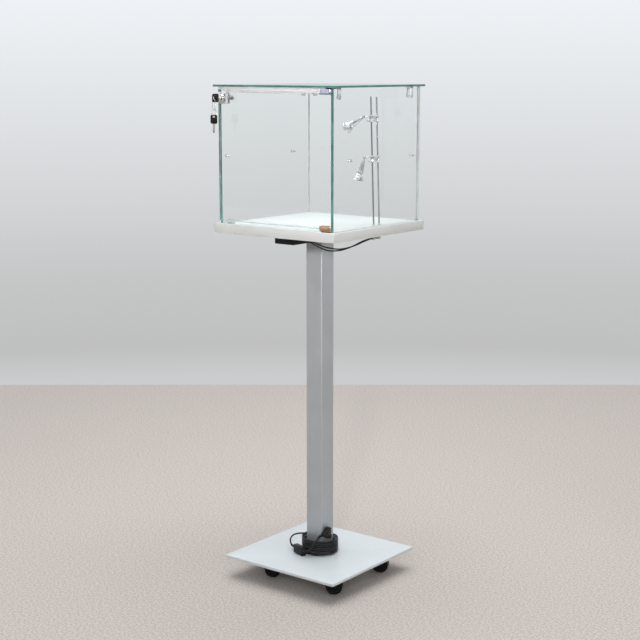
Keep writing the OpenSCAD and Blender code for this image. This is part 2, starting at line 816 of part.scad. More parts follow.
// Two barrels slide on the rods, a bar joins them and carries the arm, and a knob locks each
module lamp_clamp(z) {
  ear_y = tongue_t / 2 + 0.2;
  color("#c9cdd0")
  at_lamp(z) difference() {
    union() {
      at_rods() {
        translate([0, 0, -barrel_h / 2]) cylinder(d = barrel_d, h = barrel_h);
        for (e = [-1, 1]) translate([0, 0, e * (barrel_h / 2 - 2) - 1]) cylinder(d = barrel_d + 1, h = 2);
        translate([0, 0, knob_z]) {
          along_x(knob_d - 4, -barrel_d / 2 - 2, 0);
          along_x(knob_d, -barrel_d / 2 - 1 - knob_l, -barrel_d / 2 - 1);
        }
      }
      translate([-bar_t / 2, -rod_pitch / 2, -1]) cube([bar_t, rod_pitch, bar_h / 2 + 3]);
      translate([0, 0, arm_z]) {
        along_x(arm_d + 4, -bar_t / 2 - 3, 0);
        along_x(arm_d, -arm_l + 7, 0);
      }
      translate([-arm_l, 0, arm_z]) {
        difference() {
          union() {
            along_y(2 * ear_r, -ear_y - ear_t, ear_y + ear_t);
            translate([0, -ear_y - ear_t, -ear_r + 1.2])
              cube([8, 2 * ear_y + 2 * ear_t, 2 * ear_r - 2.4]);
          }
          translate([-2 * ear_r, -ear_y, -2 * ear_r]) cube([3 * ear_r + 0.5, 2 * ear_y, 4 * ear_r]);
        }
        along_y(hinge_pin_d, -ear_y - 0.3 - ear_t, ear_y + 0.3 + ear_t);
      }
    }
    at_rods() translate([0, 0, -barrel_h]) cylinder(d = rod_d + 2 * run_fit, h = 2 * barrel_h);
  }
}

// The head's frame: origin on its hinge, -X along the head to the bulb
module at_head(z, tilt) {
  at_lamp(z) translate([-arm_l, 0, arm_z]) rotate([0, -tilt, 0]) children();
}

module lamp_head(z, tilt) {
  x1 = head_start + holder_l;
  color("silver")
  at_head(z, tilt)
  difference() {
    union() {
      along_y(2 * ear_r - 1.4, -tongue_t / 2, tongue_t / 2);
      translate([-head_start - 1, -tongue_t / 2, -2.5]) cube([head_start + 1, tongue_t, 5]);
      rotate([0, -90, 0]) rotate_extrude() polygon([[0, head_start], [3.5, head_start],
        [4.5, head_start + 1.5], [7.5, x1 - 18], [10, x1 - 2], [10, x1], [0, x1]]);
    }
    along_y(hinge_pin_d + 2 * run_fit, -5, 5);
  }
}

module lamp_bulb(z, tilt) {
  x0 = head_start + holder_l;
  x1 = x0 + bulb_l;
  r = bulb_d / 2;
  color("#e8eef0")
  at_head(z, tilt) rotate([0, -90, 0]) {
    rotate_extrude() polygon([[0, x0], [9, x0], [13, x0 + 5], [16, x0 + 12], [r - 0.5, x1 - 2.5],
      [r, x1 - 2.5], [r, x1], [r - bulb_wall, x1], [r - bulb_wall, x1 - 2],
      [r - 0.5 - bulb_wall, x1 - 3], [16 - bulb_wall, x0 + 12.4], [13 - bulb_wall, x0 + 6],
      [9 - bulb_wall, x0 + 2], [0, x0 + 2]]);
    translate([0, 0, x1 - 1.6]) cylinder(r = r - bulb_wall - 0.1, h = 1.2);
    translate([0, 0, x0 + 2]) cylinder(d = 6, h = 9);
    translate([0, 0, x0 + 11]) cylinder(d1 = 6, d2 = 3, h = 2);
  }
}

// ---------------------------------------------------------------- driver and leads

module driver_case() {
  h = driver_h - lid_t;
  color("#1b1b1d")
  translate([driver_x0 + driver_w / 2, driver_mid_y, board_z - driver_h])
  intersection() {
    plate(driver_w, driver_d, h, driver_corner_r);
    rotate([90, 0, 0]) translate([0, h / 2 + 4, -driver_d]) linear_extrude(2 * driver_d)
      rounded_square(driver_w, h + 8, driver_corner_r);
  }
}

module driver_lid() {
  color("#242427")
  translate([driver_x0 + driver_w / 2, driver_mid_y, board_z - lid_t])
  difference() {
    union() {
      plate(driver_w, driver_d, lid_t, driver_corner_r);
      plate(driver_w + 2 * lug_w, 16, lid_t, 5);
    }
    for (x = [-1, 1]) translate([x * (driver_w + lug_w) / 2, 0, -1])
      cylinder(d = 4 + 4 * screw_fit, h = lid_t + 2);
  }
}

module lamp_lead_front() {
  color("#161618") tube(smooth(raise(reach(lead_front), board_z)), lead_d, 8);
}

module lamp_lead_back() {
  color("#161618") tube(smooth(raise(reach(lead_back), board_z)), lead_d, 8);
}

// From the driver, through the column and out at its foot, held all the way
module mains_lead_riser() {
  foot_z = base_top + cord_exit_z;
  color("#161618") {
    translate([0, 0, outlet_z]) along_y(cord_d, driver_y1, -cord_bend);
    translate([0, -cord_bend, outlet_z - cord_bend]) rotate([90, 0, 90])
      rotate_extrude(angle = 90) translate([cord_bend, 0]) circle(d = cord_d);
    translate([0, 0, foot_z + cord_bend]) cylinder(d = cord_d, h = outlet_z - foot_z - 2 * cord_bend);
    translate([0, cord_bend, foot_z + cord_bend]) rotate([90, 0, 90]) rotate([0, 0, 180])
      rotate_extrude(angle = 90) translate([cord_bend, 0]) circle(d = cord_d);
    translate([0, 0, foot_z]) along_y(cord_d, cord_bend, column_w / 2 + 3);
  }
}

module mains_lead_coil() {
  color("#161618") tube(coil_route, cord_d, 6);
}

module mains_lead_tail() {
  color("#161618") tube(smooth(raise(tail, plug_z + plug_h / 2)), cord_d, 8);
}

module at_switch() {
  translate([switch_pos[0], switch_pos[1], base_top]) rotate([0, 0, switch_turn]) children();
}

module cord_switch() {
  body = switch_l - 16;
  color("#19191b")
  at_switch() difference() {
    union() {
      translate([0, 0, switch_h / 2]) rotate([0, 90, 0]) translate([0, 0, -body / 2])
        linear_extrude(body) rounded_square(switch_h, switch_w, 4);
      for (s = [-1, 1]) translate([s * body / 2, 0, switch_h / 2]) rotate([0, 90 * s, 0])
        cylinder(d1 = 15, d2 = cord_d + 3, h = 8);
    }
    translate([-rocker_l / 2 - gap, -switch_w, switch_h / 2 - rocker_w / 2 - gap])
      cube([rocker_l + 2 * gap, switch_w / 2 + rocker_room, rocker_w + 2 * gap]);
    translate([0, rocker_axis_y, switch_h / 2 - rocker_w / 2 - 2])
      cylinder(d = rocker_pin_d + 2 * run_fit, h = rocker_w + 4);
  }
}

// The rocker tips about an upright axis through its middle
module switch_rocker() {
  y0 = -switch_w / 2;
  color("#2a2a2c")
  at_switch() translate([0, 0, switch_h / 2 - rocker_w / 2]) {
    linear_extrude(rocker_w)
      polygon([[-rocker_l / 2 + 0.6, y0 + 2], [-rocker_l / 2 + 0.6, y0 - 0.6], [0, y0 + 0.6],
        [rocker_l / 2 - 0.6, y0 + 1.4], [rocker_l / 2 - 2, y0 + 3], [0, y0 + 4.5]]);
    translate([0, rocker_axis_y, -1.8]) cylinder(d = rocker_pin_d, h = rocker_w + 3.6);
  }
}

module plug_body() {
  z = plug_z + plug_h / 2;
  color("#19191b")
  translate([plug_x, plug_y, z]) rotate([90, 0, 90]) translate([0, 0, -plug_t / 2])
    linear_extrude(plug_t) polygon([[0, -plug_h / 2 + 3], [0, plug_h / 2 - 3], [-3, plug_h / 2],
      [-plug_shoulder, plug_h / 2], [-plug_waist, plug_neck / 2 + 2], [-plug_l, plug_neck / 2],
      [-plug_l, -plug_neck / 2], [-plug_waist, -plug_neck / 2 - 2], [-plug_shoulder, -plug_h / 2],
      [-3, -plug_h / 2]]);
}

module plug_pins() {
  color("silver")
  for (s = [-1, 1]) translate([plug_x, plug_y, plug_z + plug_h / 2 + s * pin_pitch / 2]) {
    along_y(4, 0, 17);
    translate([0, 17, 0]) rotate([-90, 0, 0]) cylinder(d1 = 4, d2 = 2, h = 2);
  }
}

// ---------------------------------------------------------------- door

module door_glass() {
  color("#cfe8e2", 0.4)
  difference() {
    translate([door_x0, -pane_out, door_z0]) cube([door_x1 - door_x0, glass_t, door_z1 - door_z0]);
    translate([lock_x, 0, lock_z]) along_y(20, -pane_out - 1, -pane_in + 1);
  }
}

clamp_x0 = door_x1 - clamp_l;

module door_seal() {
  lip = door_gap_top - gap;
  over_clamp = door_gap_top - clamp_floor - gap - 0.3;
  clip_x0 = lock_x + lock_w / 2 + 2.5;
  color("white") {
    translate([door_x0, -pane_out, door_z1]) cube([clamp_x0 - 0.3 - door_x0, glass_t, lip]);
    translate([clamp_x0 - 0.5, -pane_out, top_z - gap - over_clamp])
      cube([seal_end - clamp_x0 + 0.5, glass_t, over_clamp]);
    translate([clip_x0, -pane_out - 1, door_z1 - 8]) cube([clamp_x0 - 0.3 - clip_x0, 1, 9]);
    translate([clip_x0, -pane_in, door_z1 - 8]) cube([clamp_x0 - 0.3 - clip_x0, 1, 9]);
  }
}

// One clamp, at the door's lower corner: origin on the pivot at the door's bottom edge
module hinge_clamp() {
  l = clamp_l - pivot_inset;
  difference() {
    union() {
      translate([-l + 2, -clamp_half, -clamp_floor]) cube([l - 2, 2 * clamp_half, clamp_h]);
      translate([-l, -clamp_half + 2, -clamp_floor]) cube([4, 2 * clamp_half - 4, clamp_h]);
      for (y = [-1, 1]) translate([-l + 2, y * (clamp_half - 2), -clamp_floor]) cylinder(r = 2, h = clamp_h);
      translate([0, 0, -clamp_floor]) cylinder(r = clamp_half, h = clamp_h);
      translate([0, 0, -clamp_floor - pin_l]) cylinder(d = pivot_d, h = pin_l + 1);
    }
    translate([-l - 1, -glass_t / 2, 0]) cube([clamp_l + 10, glass_t, clamp_h]);
    for (x = [-l + 8, -7]) translate([x, 0, 5]) along_y(4, glass_t / 2, clamp_half + 1);
  }
  for (x = [-l + 8, -7]) translate([x, 0, 5]) difference() {
    along_y(3.8, glass_t / 2, clamp_half - 0.5);
    translate([0, clamp_half - 2, 0]) rotate([-90, 0, 0]) cylinder(d = 2, h = 3, $fn = 6);
  }
}

module hinge_clamps() {
  short = pin_l - (door_gap_top - clamp_floor - gap - 0.6);
  color("#b98f6f") {
    translate([pivot_x, door_y, door_z0]) hinge_clamp();
    translate([pivot_x, door_y, door_z1]) mirror([0, 0, 1]) difference() {
      hinge_clamp();
      translate([0, 0, -clamp_floor - pin_l - 1]) cylinder(d = pivot_d + 1, h = short + 1);
    }
  }
}

// ---------------------------------------------------------------- lock

module lock_case() {
  color("silver")
  translate([lock_x, 0, lock_z])
  difference() {
    union() {
      translate([0, outer_face, 0]) rotate([90, 0, 0])
        linear_extrude(lock_case_t - 1.5) rounded_square(lock_w, lock_h, 3);
      translate([0, outer_face - lock_case_t + 1.5, 0]) rotate([90, 0, 0])
        linear_extrude(1.5) rounded_square(lock_w - 3, lock_h - 3, 2);
      along_y(lock_collar_d, collar_y + 1, outer_face - 1);
      along_y(lock_collar_d - 2, collar_y, collar_y + 2);
      along_y(spigot_d, outer_face - 1, inner_face - 0.3);
    }
    along_y(plug_d + 2 * run_fit, collar_y - 1, inner_face + 1);
    for (s = [-1, 1]) translate([0, 0, s * 8.2]) along_y(1.8, inner_face - 5, inner_face + 1);
  }
}

module lock_backplate() {
  color("silver")
  translate([lock_x, 0, lock_z])
  difference() {
    translate([0, inner_face + backplate_t, 0]) rotate([90, 0, 0])
      linear_extrude(backplate_t) rounded_square(lock_w, lock_h, 2);
    along_y(plug_d + 2 * run_fit, inner_face - 1, inner_face + backplate_t + 1);
    for (s = [-1, 1]) translate([0, inner_face + backplate_t, s * 8.2])
      rotate([-90, 0, 0]) sunk_hole(1.5, 4);
  }
}

module lock_screws() {
  color("gainsboro")
  translate([lock_x, inner_face + backplate_t, lock_z])
    for (s = [-1, 1]) translate([0, 0, s * 8.2]) rotate([-90, 0, 0]) sunk_screw(1.5, 6);
}

module lock_plug() {
  color("silver")
  translate([lock_x, 0, lock_z])
  difference() {
    union() {
      along_y(plug_d, collar_y - 0.5, cam_y - 0.4);
      along_y(tail_d, cam_y - 1, cam_y + cam_t + 4);
    }
    translate([-blade_t / 2 - slot_clear, collar_y - 1, -blade_w / 2 - slot_clear])
      cube([blade_t + 2 * slot_clear, blade_in + 1.5, blade_w + 2 * slot_clear]);
  }
}

module lock_cam() {
  color("#55585a")
  translate([lock_x, cam_y + cam_t, lock_z]) {
    rotate([90, 0, 0]) linear_extrude(cam_t) difference() {
      union() {
        circle(d = cam_w + 4);
        translate([0, -cam_w / 2]) square([cam_l - cam_w / 2, cam_w]);
        translate([cam_l - cam_w / 2, 0]) circle(d = cam_w);
      }
      circle(d = tail_d + 2 * run_fit);
    }
    rotate([-90, 0, 0]) translate([0, 0, 0.2]) difference() {
      cylinder(d = 14, h = 3, $fn = 6);
      translate([0, 0, -1]) cylinder(d = tail_d + 2 * run_fit, h = 5);
    }
  }
}

// A key in its own frame: the head lies in the XZ plane above z = 0 and the blade hangs down
module head_shape() {
  w = key_head_w;
  l = key_head_l;
  r = 6;
  rotate([90, 0, 0]) translate([0, 0, -key_head_t / 2]) linear_extrude(key_head_t) difference() {
    union() {
      polygon([[-w / 2 + 3, 0], [w / 2 - 3, 0], [w / 2, 3], [w / 2, l - r], [-w / 2, l - r], [-w / 2, 3]]);
      translate([-w / 2 + r, l - r - 1]) square([w - 2 * r, r + 1]);
      for (s = [-1, 1]) translate([s * (w / 2 - r), l - r]) circle(r);
    }
    translate([0, l - eye_rim - eye_w / 2]) {
      square([eye_l - eye_w, eye_w], center = true);
      for (s = [-1, 1]) translate([s * (eye_l - eye_w) / 2, 0]) circle(d = eye_w);
    }
  }
}

module blade_shape() {
  l = blade_in + key_neck - 0.5;
  teeth = 5;
  rotate([90, 0, 0]) translate([0, 0, -blade_t / 2]) linear_extrude(blade_t)
    polygon(concat([[-blade_w / 2, 0], [-blade_w / 2, -l + 3], [0, -l], [blade_w / 2 - 1, -l + 2]],
      [for (i = [0:2 * teeth]) [blade_w / 2 - (i % 2 == 0 ? 0 : 1.2 + 0.3 * (i % 4)), -l + 3 + i * 1.6]],
      [[blade_w / 2, 0]]));
}

// The key in the lock points its blade at +Y, with the head on edge
module in_lock() {
  translate([lock_x, head_y, lock_z]) rotate([90, 0, 0]) rotate([0, 0, 90]) children();
}

module key_blade() { color("#c8c6c0") in_lock() blade_shape(); }
module key_head() { color("#17171a") in_lock() head_shape(); }

module key_rings() {
  color("#b9bbbd")
  translate([lock_x, eye_y, 0]) {
    for (s = [0, 1]) translate([0, 0, s == 0 ? loop_top - loop_r : loop_bottom + loop_r])
      rotate([90, 180 * s, 0]) rotate_extrude(angle = 180) translate([loop_r, 0]) circle(d = wire_d);
    for (s = [-1, 1]) translate([s * loop_r, 0, loop_bottom + loop_r])
      cylinder(d = wire_d, h = loop_top - loop_bottom - 2 * loop_r);
    translate([0, 0, ring_top - ring_r]) rotate([0, 90, 0])
      rotate_extrude() translate([ring_r, 0]) circle(d = wire_d);
  }
}

module spare() {
  translate([lock_x, eye_y, spare_top - key_head_l]) children();
}

module spare_key_blade() { color("#c8c6c0") spare() blade_shape(); }
module spare_key_head() { color("#17171a") spare() head_shape(); }

// ---------------------------------------------------------------- nodes

base_plate();
foot_insert();
column();
column_grommets();
head_plate();
mounting_screws();
board();
board_edging();
pane_left();
pane_right();
pane_back();
top_glass();
top_brackets();
bracket_screws();
shelf_pins();
stop_block();
hinge_foot();
hinge_top_socket();
strike();
lamp_rods();
rod_collars();
rod_nuts();
driver_case();
driver_lid();
lamp_lead_front();
lamp_lead_back();
mains_lead_riser();
mains_lead_coil();
mains_lead_tail();
cord_switch();
switch_rocker();
plug_body();
plug_pins();
caster_plates();
caster_hood(-1, -1);  // front_left_caster_hood
caster_hood(1, -1);  // front_right_caster_hood
caster_hood(-1, 1);  // back_left_caster_hood
caster_hood(1, 1);  // back_right_caster_hood
caster_wheels(-1, -1);  // front_left_caster_wheels
caster_wheels(1, -1);  // front_right_caster_wheels
caster_wheels(-1, 1);  // back_left_caster_wheels
caster_wheels(1, 1);  // back_right_caster_wheels
door_glass();
door_seal();
hinge_clamps();
lock_case();
union() { lock_backplate(); lock_screws(); }
lock_plug();
lock_cam();
key_blade();
key_head();
key_rings();
spare_key_blade();
spare_key_head();
lamp_clamp(upper_lamp_z);  // upper_lamp_clamp
lamp_head(upper_lamp_z, upper_tilt);  // upper_lamp_head
lamp_bulb(upper_lamp_z, upper_tilt);  // upper_lamp_bulb
lamp_clamp(lower_lamp_z);  // lower_lamp_clamp
lamp_head(lower_lamp_z, lower_tilt);  // lower_lamp_head
lamp_bulb(lower_lamp_z, lower_tilt);  // lower_lamp_bulb
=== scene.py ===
# %% [markdown]
# # A pedestal display case
# A square glass showcase stands on a board, a steel column and a castered base plate. A
# glass door with a small lock closes its front, and two spot lamps slide on a pair of rods
# inside. The construction is already made, piece by piece, at its real size. This lesson
# dresses it: it models the cords, the glass, the lamps and the small fittings more finely,
# and gives every surface its own finish.

# %% Load the construction
import json
import math

import bpy
from mathutils import Matrix, Vector


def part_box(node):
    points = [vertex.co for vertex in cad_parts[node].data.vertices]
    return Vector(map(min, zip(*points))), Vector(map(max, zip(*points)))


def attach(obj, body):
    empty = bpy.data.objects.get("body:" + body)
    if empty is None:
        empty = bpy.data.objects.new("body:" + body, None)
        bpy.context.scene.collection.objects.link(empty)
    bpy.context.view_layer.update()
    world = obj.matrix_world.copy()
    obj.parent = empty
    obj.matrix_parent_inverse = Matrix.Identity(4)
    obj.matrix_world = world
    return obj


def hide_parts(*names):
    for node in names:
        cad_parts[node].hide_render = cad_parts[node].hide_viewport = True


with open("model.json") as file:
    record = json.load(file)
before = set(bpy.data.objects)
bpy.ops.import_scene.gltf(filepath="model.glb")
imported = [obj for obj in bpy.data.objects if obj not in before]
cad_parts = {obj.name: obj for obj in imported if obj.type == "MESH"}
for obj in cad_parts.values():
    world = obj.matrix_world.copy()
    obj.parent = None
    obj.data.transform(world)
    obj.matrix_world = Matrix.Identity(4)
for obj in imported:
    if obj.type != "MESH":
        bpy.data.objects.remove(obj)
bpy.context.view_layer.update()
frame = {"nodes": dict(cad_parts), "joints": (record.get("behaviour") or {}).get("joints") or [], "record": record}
SLOT_OF = {part["node"]: part["material_slot"] for part in frame["record"]["subparts"]}
BODY_OF = {node: body for body, nodes in frame["record"]["behaviour"]["bodies"].items() for node in nodes}
MM = 0.001
MERGE_WITHIN = 2e-6

# %% [markdown]
# ## The camera
# The camera stands a little above the case, to the right of the door, far back with a long
# lens, so that upright edges stay almost parallel. Its place was worked out from the corners
# of the base plate, the board and the top glass.

# %% Place the camera
CAMERA_PLACE = Vector((2.5909, -3.3325, 1.5715))
CAMERA_HEADING = math.radians(37.864)
CAMERA_DOWN = math.radians(10.2345)
LENS_MM = 79.03

bpy.ops.object.camera_add(
    location=CAMERA_PLACE,
    rotation=(math.pi / 2 - CAMERA_DOWN, 0, CAMERA_HEADING),
)
camera = bpy.context.object
camera.name = "camera"
camera.data.lens = LENS_MM
camera.data.sensor_width = 36
bpy.context.scene.camera = camera

# %% [markdown]
# ## Small helpers
# An operator acts on everything that is selected, so each step first selects only its own
# piece. A finished piece keeps its place in its mesh, sits at the origin and rides on the
# body that carries it. Its finish is only named here and is made at the end.


# %% Select, settle and seat a piece
FINISH_OF = {}


def pick(*pieces):
    bpy.ops.object.select_all(action="DESELECT")
    for piece in pieces:
        piece.select_set(True)
    bpy.context.view_layer.objects.active = pieces[0]


def settle(piece):
    pick(piece)
    bpy.ops.object.transform_apply(location=True, rotation=True, scale=True)


def placed(piece, frame_matrix):
    """Moves a piece from its own frame to the object's, into its mesh."""
    piece.matrix_world = frame_matrix @ piece.matrix_world
    settle(piece)
    return piece


def seat_on(piece, node, finish=None):
    """The piece moves with the body of a CAD node. Its finish is the node's unless named."""
    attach(piece, BODY_OF[node])
    FINISH_OF[piece.name] = finish or SLOT_OF[node]
    return piece


def stand_for(piece, node, finish=None):
    seat_on(piece, node, finish)
    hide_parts(node)
    return piece


def joined(name, pieces):
    """Several pieces as one."""
    pick(*pieces)
    bpy.ops.object.join()
    pieces[0].name = name
    return pieces[0]


def again(piece, frame_matrix):
    """A copy with a mesh of its own, moved by the matrix."""
    twin = piece.copy()
    twin.data = piece.data.copy()
    bpy.context.collection.objects.link(twin)
    return placed(twin, frame_matrix)


def moved(x, y, z):
    """A shift in millimetres."""
    return Matrix.Translation((x * MM, y * MM, z * MM))


def turned(degrees, axis):
    return Matrix.Rotation(math.radians(degrees), 4, axis)


# %% [markdown]
# ## Softer edges
# No real edge is a perfect corner: a plate is deburred, a moulding has a small radius. The
# construction's meshes are loose triangles, so a copy is taken, its points are merged and
# its flat faces joined, and then its sharp edges are bevelled by the radius that the real
# piece has. The copy stands for the original.


# %% Copy a CAD node and bevel its sharp edges
def merged_copy(node, name):
    """A copy of a node's mesh with its points merged and its flat faces joined."""
    piece = bpy.data.objects.new(name, frame["nodes"][node].data.copy())
    piece.data.materials.clear()
    bpy.context.collection.objects.link(piece)
    pick(piece)
    bpy.ops.object.mode_set(mode="EDIT")
    bpy.ops.mesh.select_all(action="SELECT")
    bpy.ops.mesh.remove_doubles(threshold=MERGE_WITHIN)
    bpy.ops.mesh.dissolve_limited(angle_limit=math.radians(0.6))
    bpy.ops.object.mode_set(mode="OBJECT")
    return piece


def bevel_sharp(piece, radius, sharper_than=32, segments=2):
    """Rounds each edge where two faces meet at more than the given angle, in degrees."""
    pick(piece)
    bpy.ops.object.mode_set(mode="EDIT")
    bpy.ops.mesh.select_mode(type="EDGE")
    bpy.ops.mesh.select_all(action="DESELECT")
    bpy.ops.mesh.edges_select_sharp(sharpness=math.radians(sharper_than))
    bpy.ops.mesh.bevel(offset=radius * MM, segments=segments, affect="EDGES", clamp_overlap=True)
    bpy.ops.mesh.select_all(action="SELECT")
    bpy.ops.mesh.remove_doubles(threshold=MERGE_WITHIN)
    bpy.ops.object.mode_set(mode="OBJECT")


def smooth_below(piece, degrees=40):
    pick(piece)
    bpy.ops.object.shade_smooth_by_angle(angle=math.radians(degrees))


def softened(node, radius=0, sharper_than=32):
    """A copy that stands for a node, with its sharp edges rounded by a radius in mm."""
    piece = merged_copy(node, node + "_soft")
    if radius:
        bevel_sharp(piece, radius, sharper_than)
    smooth_below(piece)
    return stand_for(piece, node)


# %% [markdown]
# ## Turned pieces and blocks
# Many small fittings come from a lathe. A profile is drawn point by point beside an axis,
# by extruding a single point, and is then spun round. The flat ones start as a block whose
# edges are rounded.


# %% A lathe and a rounded block
def lathed(name, profile, steps=48, smooth=35):
    """Spins a profile of (radius, height) points in mm round the Z axis."""
    bpy.ops.object.select_all(action="DESELECT")
    bpy.ops.mesh.primitive_plane_add(size=MM)
    piece = bpy.context.object
    piece.name = name
    bpy.ops.object.mode_set(mode="EDIT")
    bpy.ops.mesh.select_mode(type="VERT")
    bpy.ops.mesh.select_all(action="SELECT")
    bpy.ops.mesh.merge(type="CENTER")
    here = Vector((0, 0, 0))
    for i, (radius, height) in enumerate(profile):
        step = Vector((radius * MM, 0, height * MM)) - here
        if i:
            bpy.ops.mesh.extrude_region_move(TRANSFORM_OT_translate={"value": step})
        else:
            bpy.ops.transform.translate(value=step)
        here += step
    bpy.ops.mesh.select_all(action="SELECT")
    bpy.ops.mesh.spin(steps=steps, angle=2 * math.pi, center=(0, 0, 0), axis=(0, 0, 1))
    bpy.ops.mesh.select_all(action="SELECT")
    bpy.ops.mesh.remove_doubles(threshold=MERGE_WITHIN)
    bpy.ops.mesh.normals_make_consistent(inside=False)
    bpy.ops.object.mode_set(mode="OBJECT")
    smooth_below(piece, smooth)
    return piece


def block(name, centre, size, radius, segments=3):
    """A rounded block, its centre, size and edge radius in millimetres."""
    bpy.ops.object.select_all(action="DESELECT")
    bpy.ops.mesh.primitive_cube_add(size=1, location=Vector(centre) * MM, scale=Vector(size) * MM)
    piece = bpy.context.object
    piece.name = name
    settle(piece)
    bpy.ops.object.mode_set(mode="EDIT")
    bpy.ops.mesh.select_all(action="SELECT")
    bpy.ops.mesh.bevel(offset=radius * MM, segments=segments, affect="EDGES")
    bpy.ops.object.mode_set(mode="OBJECT")
    smooth_below(piece)
    return piece


# %% [markdown]
# ## The cords
# Four cords hang or lie free. Two thin leads hang in a slack bow from the driver to the
# lamp rods. The mains lead comes out of a rubber bush at the foot of the column, is wound
# down round the column and up again inside those turns, then loops over to the in-line
# switch. From the switch it climbs to the plug. A curve with a round bevel is the simplest
# true cord: its line is the cord's own middle line.


# %% Routes in millimetres
def between(points, i):
    """A point halfway along a smooth curve from points[i] to points[i + 1]."""
    before, here = points[max(i - 1, 0)], points[i]
    there, after = points[i + 1], points[min(i + 2, len(points) - 1)]
    return (9 * (here + there) - before - after) / 16


def smoothed(points):
    """The route with one more point in each gap."""
    route = []
    for i in range(len(points) - 1):
        route += [points[i], between(points, i)]
    return route + [points[-1]]


def raised(points, height):
    return [Vector(p) + Vector((0, 0, height)) for p in points]


BOARD_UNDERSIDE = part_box("board")[0].z / MM
BASE_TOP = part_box("base_plate")[1].z / MM
PLUG_MIDDLE = (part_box("plug_body")[0].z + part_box("plug_body")[1].z) / 2 / MM

FRONT_LAMP_LEAD = [
    (12, -82, -21), (20, -81, -22), (34, -74, -31), (52, -63, -42), (70, -52, -49),
    (88, -41, -50), (106, -31, -47), (124, -20, -40), (142, -9, -30), (158, 1, -20),
    (172, 8, -14), (181, 10.5, -12), (188, 10.5, -12),
]
BACK_LAMP_LEAD = [
    (12, -73, -21), (20, -72, -22), (36, -63, -30), (54, -51, -39), (72, -38, -44),
    (92, -25, -46), (112, -12, -42), (130, 1, -35), (146, 13, -26), (160, 26, -18),
    (171, 35, -13), (180, 38.5, -12), (188, 38.5, -12),
]
COIL_IN = [
    (0, 33, 70), (0, 40, 70), (-3, 50, 69.5), (-11, 57.5, 67.5), (-22, 58.5, 64),
    (-33, 53, 60), (-42.5, 43, 56), (-49, 31, 53), (-52.5, 19, 50),
]
COIL_OUT = [
    (-48.8, 0, 46.5), (-48.5, -9, 49.5), (-48, -18, 52.5), (-50, -27, 54.5),
    (-56, -35, 55), (-65, -39.5, 52.5), (-75, -40, 47), (-84, -38, 39), (-90, -36, 29),
    (-89, -37, 19), (-81, -41.5, 14), (-72, -46, 13.5), (-61.2, -51.4, 13.5),
]
SWITCH_TO_PLUG = [
    (-2.8, -72.6, -53.5), (5, -76.2, -51.5), (14, -79, -47), (22, -79.5, -40),
    (28, -77, -31), (32, -72, -21), (35, -65, -12), (37, -56, -5), (38, -46, -1),
    (38, -36, 0),
]

# %% The turns of the coil
CORD_D = 5
OUTER_TURNS = 7
DOWN_TURNS = OUTER_TURNS + 0.25
INNER_TURNS = 3.75
INNER_R = 48.5
LAYER_STEP = 6
TURN_STEP = 6.3
INNER_ENDS_LOWER = 0.5
INNER_STEP = TURN_STEP * (DOWN_TURNS - INNER_ENDS_LOWER) / INNER_TURNS
COIL_OVAL = 1.2
COIL_START = math.radians(170)
COIL_GAP = 0.3
COIL_BASE = BASE_TOP + CORD_D / 2 + COIL_GAP
STEPS_PER_TURN = 48


def coil_point(u):
    """Where the middle line is after u turns."""
    angle = COIL_START + 2 * math.pi * u
    crossed = (u - OUTER_TURNS) / (DOWN_TURNS - OUTER_TURNS)
    inwards = (1 - math.cos(math.pi * min(max(crossed, 0), 1))) / 2
    radius = INNER_R + LAYER_STEP * (1 - inwards) + COIL_OVAL * math.cos(2 * angle)
    if u < DOWN_TURNS:
        height = TURN_STEP * (DOWN_TURNS - u)
    else:
        height = INNER_STEP * (u - DOWN_TURNS)
    return Vector((radius * math.cos(angle), radius * math.sin(angle), COIL_BASE + height))


last_step = int(STEPS_PER_TURN * (DOWN_TURNS + INNER_TURNS))
coil = [coil_point(step / STEPS_PER_TURN) for step in range(last_step + 1)]
coil_in = smoothed(smoothed(raised(COIL_IN, BASE_TOP) + coil[:1]))[:-1]
coil_out = smoothed(smoothed(coil[-1:] + raised(COIL_OUT, BASE_TOP)))[1:]
mains_route = coil_in + coil + coil_out
print("coil turns:", round(DOWN_TURNS + INNER_TURNS, 2))


# %% [markdown]
# ## What sits on the cords
# The switch is a two-part moulding with a rocker, and the plug a flat moulded one with two
# pins. Where a cord enters either, and where it leaves the driver, a tapered rubber sleeve
# with rings keeps it from kinking. The sleeve follows the cord, so it is a curve too, whose
# thickness changes from point to point.

# %% Switch and plug
switch_body = softened("cord_switch", 0.8)
rocker = softened("switch_rocker", 0.5)
plug = softened("plug_body", 1.2)
pins = softened("plug_pins", 0.2)

SWITCH_FRAME = moved(-32, -62, BASE_TOP + 13.5) @ turned(-20, "Z")
SEAM_SIZE = (46.6, 18.7, 0.8)
SEAM_FRAME = SWITCH_FRAME @ moved(0, 0.2, -8)
seam = placed(block("switch_seam", (0, 0, 0), SEAM_SIZE, 0.3), SEAM_FRAME)
seat_on(seam, "cord_switch")
PLUG_FRAME = moved(38, 0, PLUG_MIDDLE)
GRIP_X = 6.6
GRIP_Y = -14.5
GRIP_PITCH = 2.6
grips = []
for i in range(5):
    for side in (-1, 1):
        centre = (side * GRIP_X, GRIP_Y - GRIP_PITCH * i, 0)
        grips.append(block("grip", centre, (1.4, 1.3, 19 - 2 * i), 0.45))
plug_grip = seat_on(placed(joined("plug_grip", grips), PLUG_FRAME), "plug_body")
COLLAR = [(1.9, 0.1), (2.3, 0.1), (2.3, 7.6), (2.15, 8), (1.9, 8)]
PIN_OFFSET = 9.5
collars = [lathed("collar", COLLAR, 24) for _ in range(2)]
for piece, side in zip(collars, (-1, 1)):
    placed(piece, PLUG_FRAME @ moved(0, 0, side * PIN_OFFSET) @ turned(-90, "X"))
pin_collars = seat_on(joined("pin_collars", collars), "plug_body")


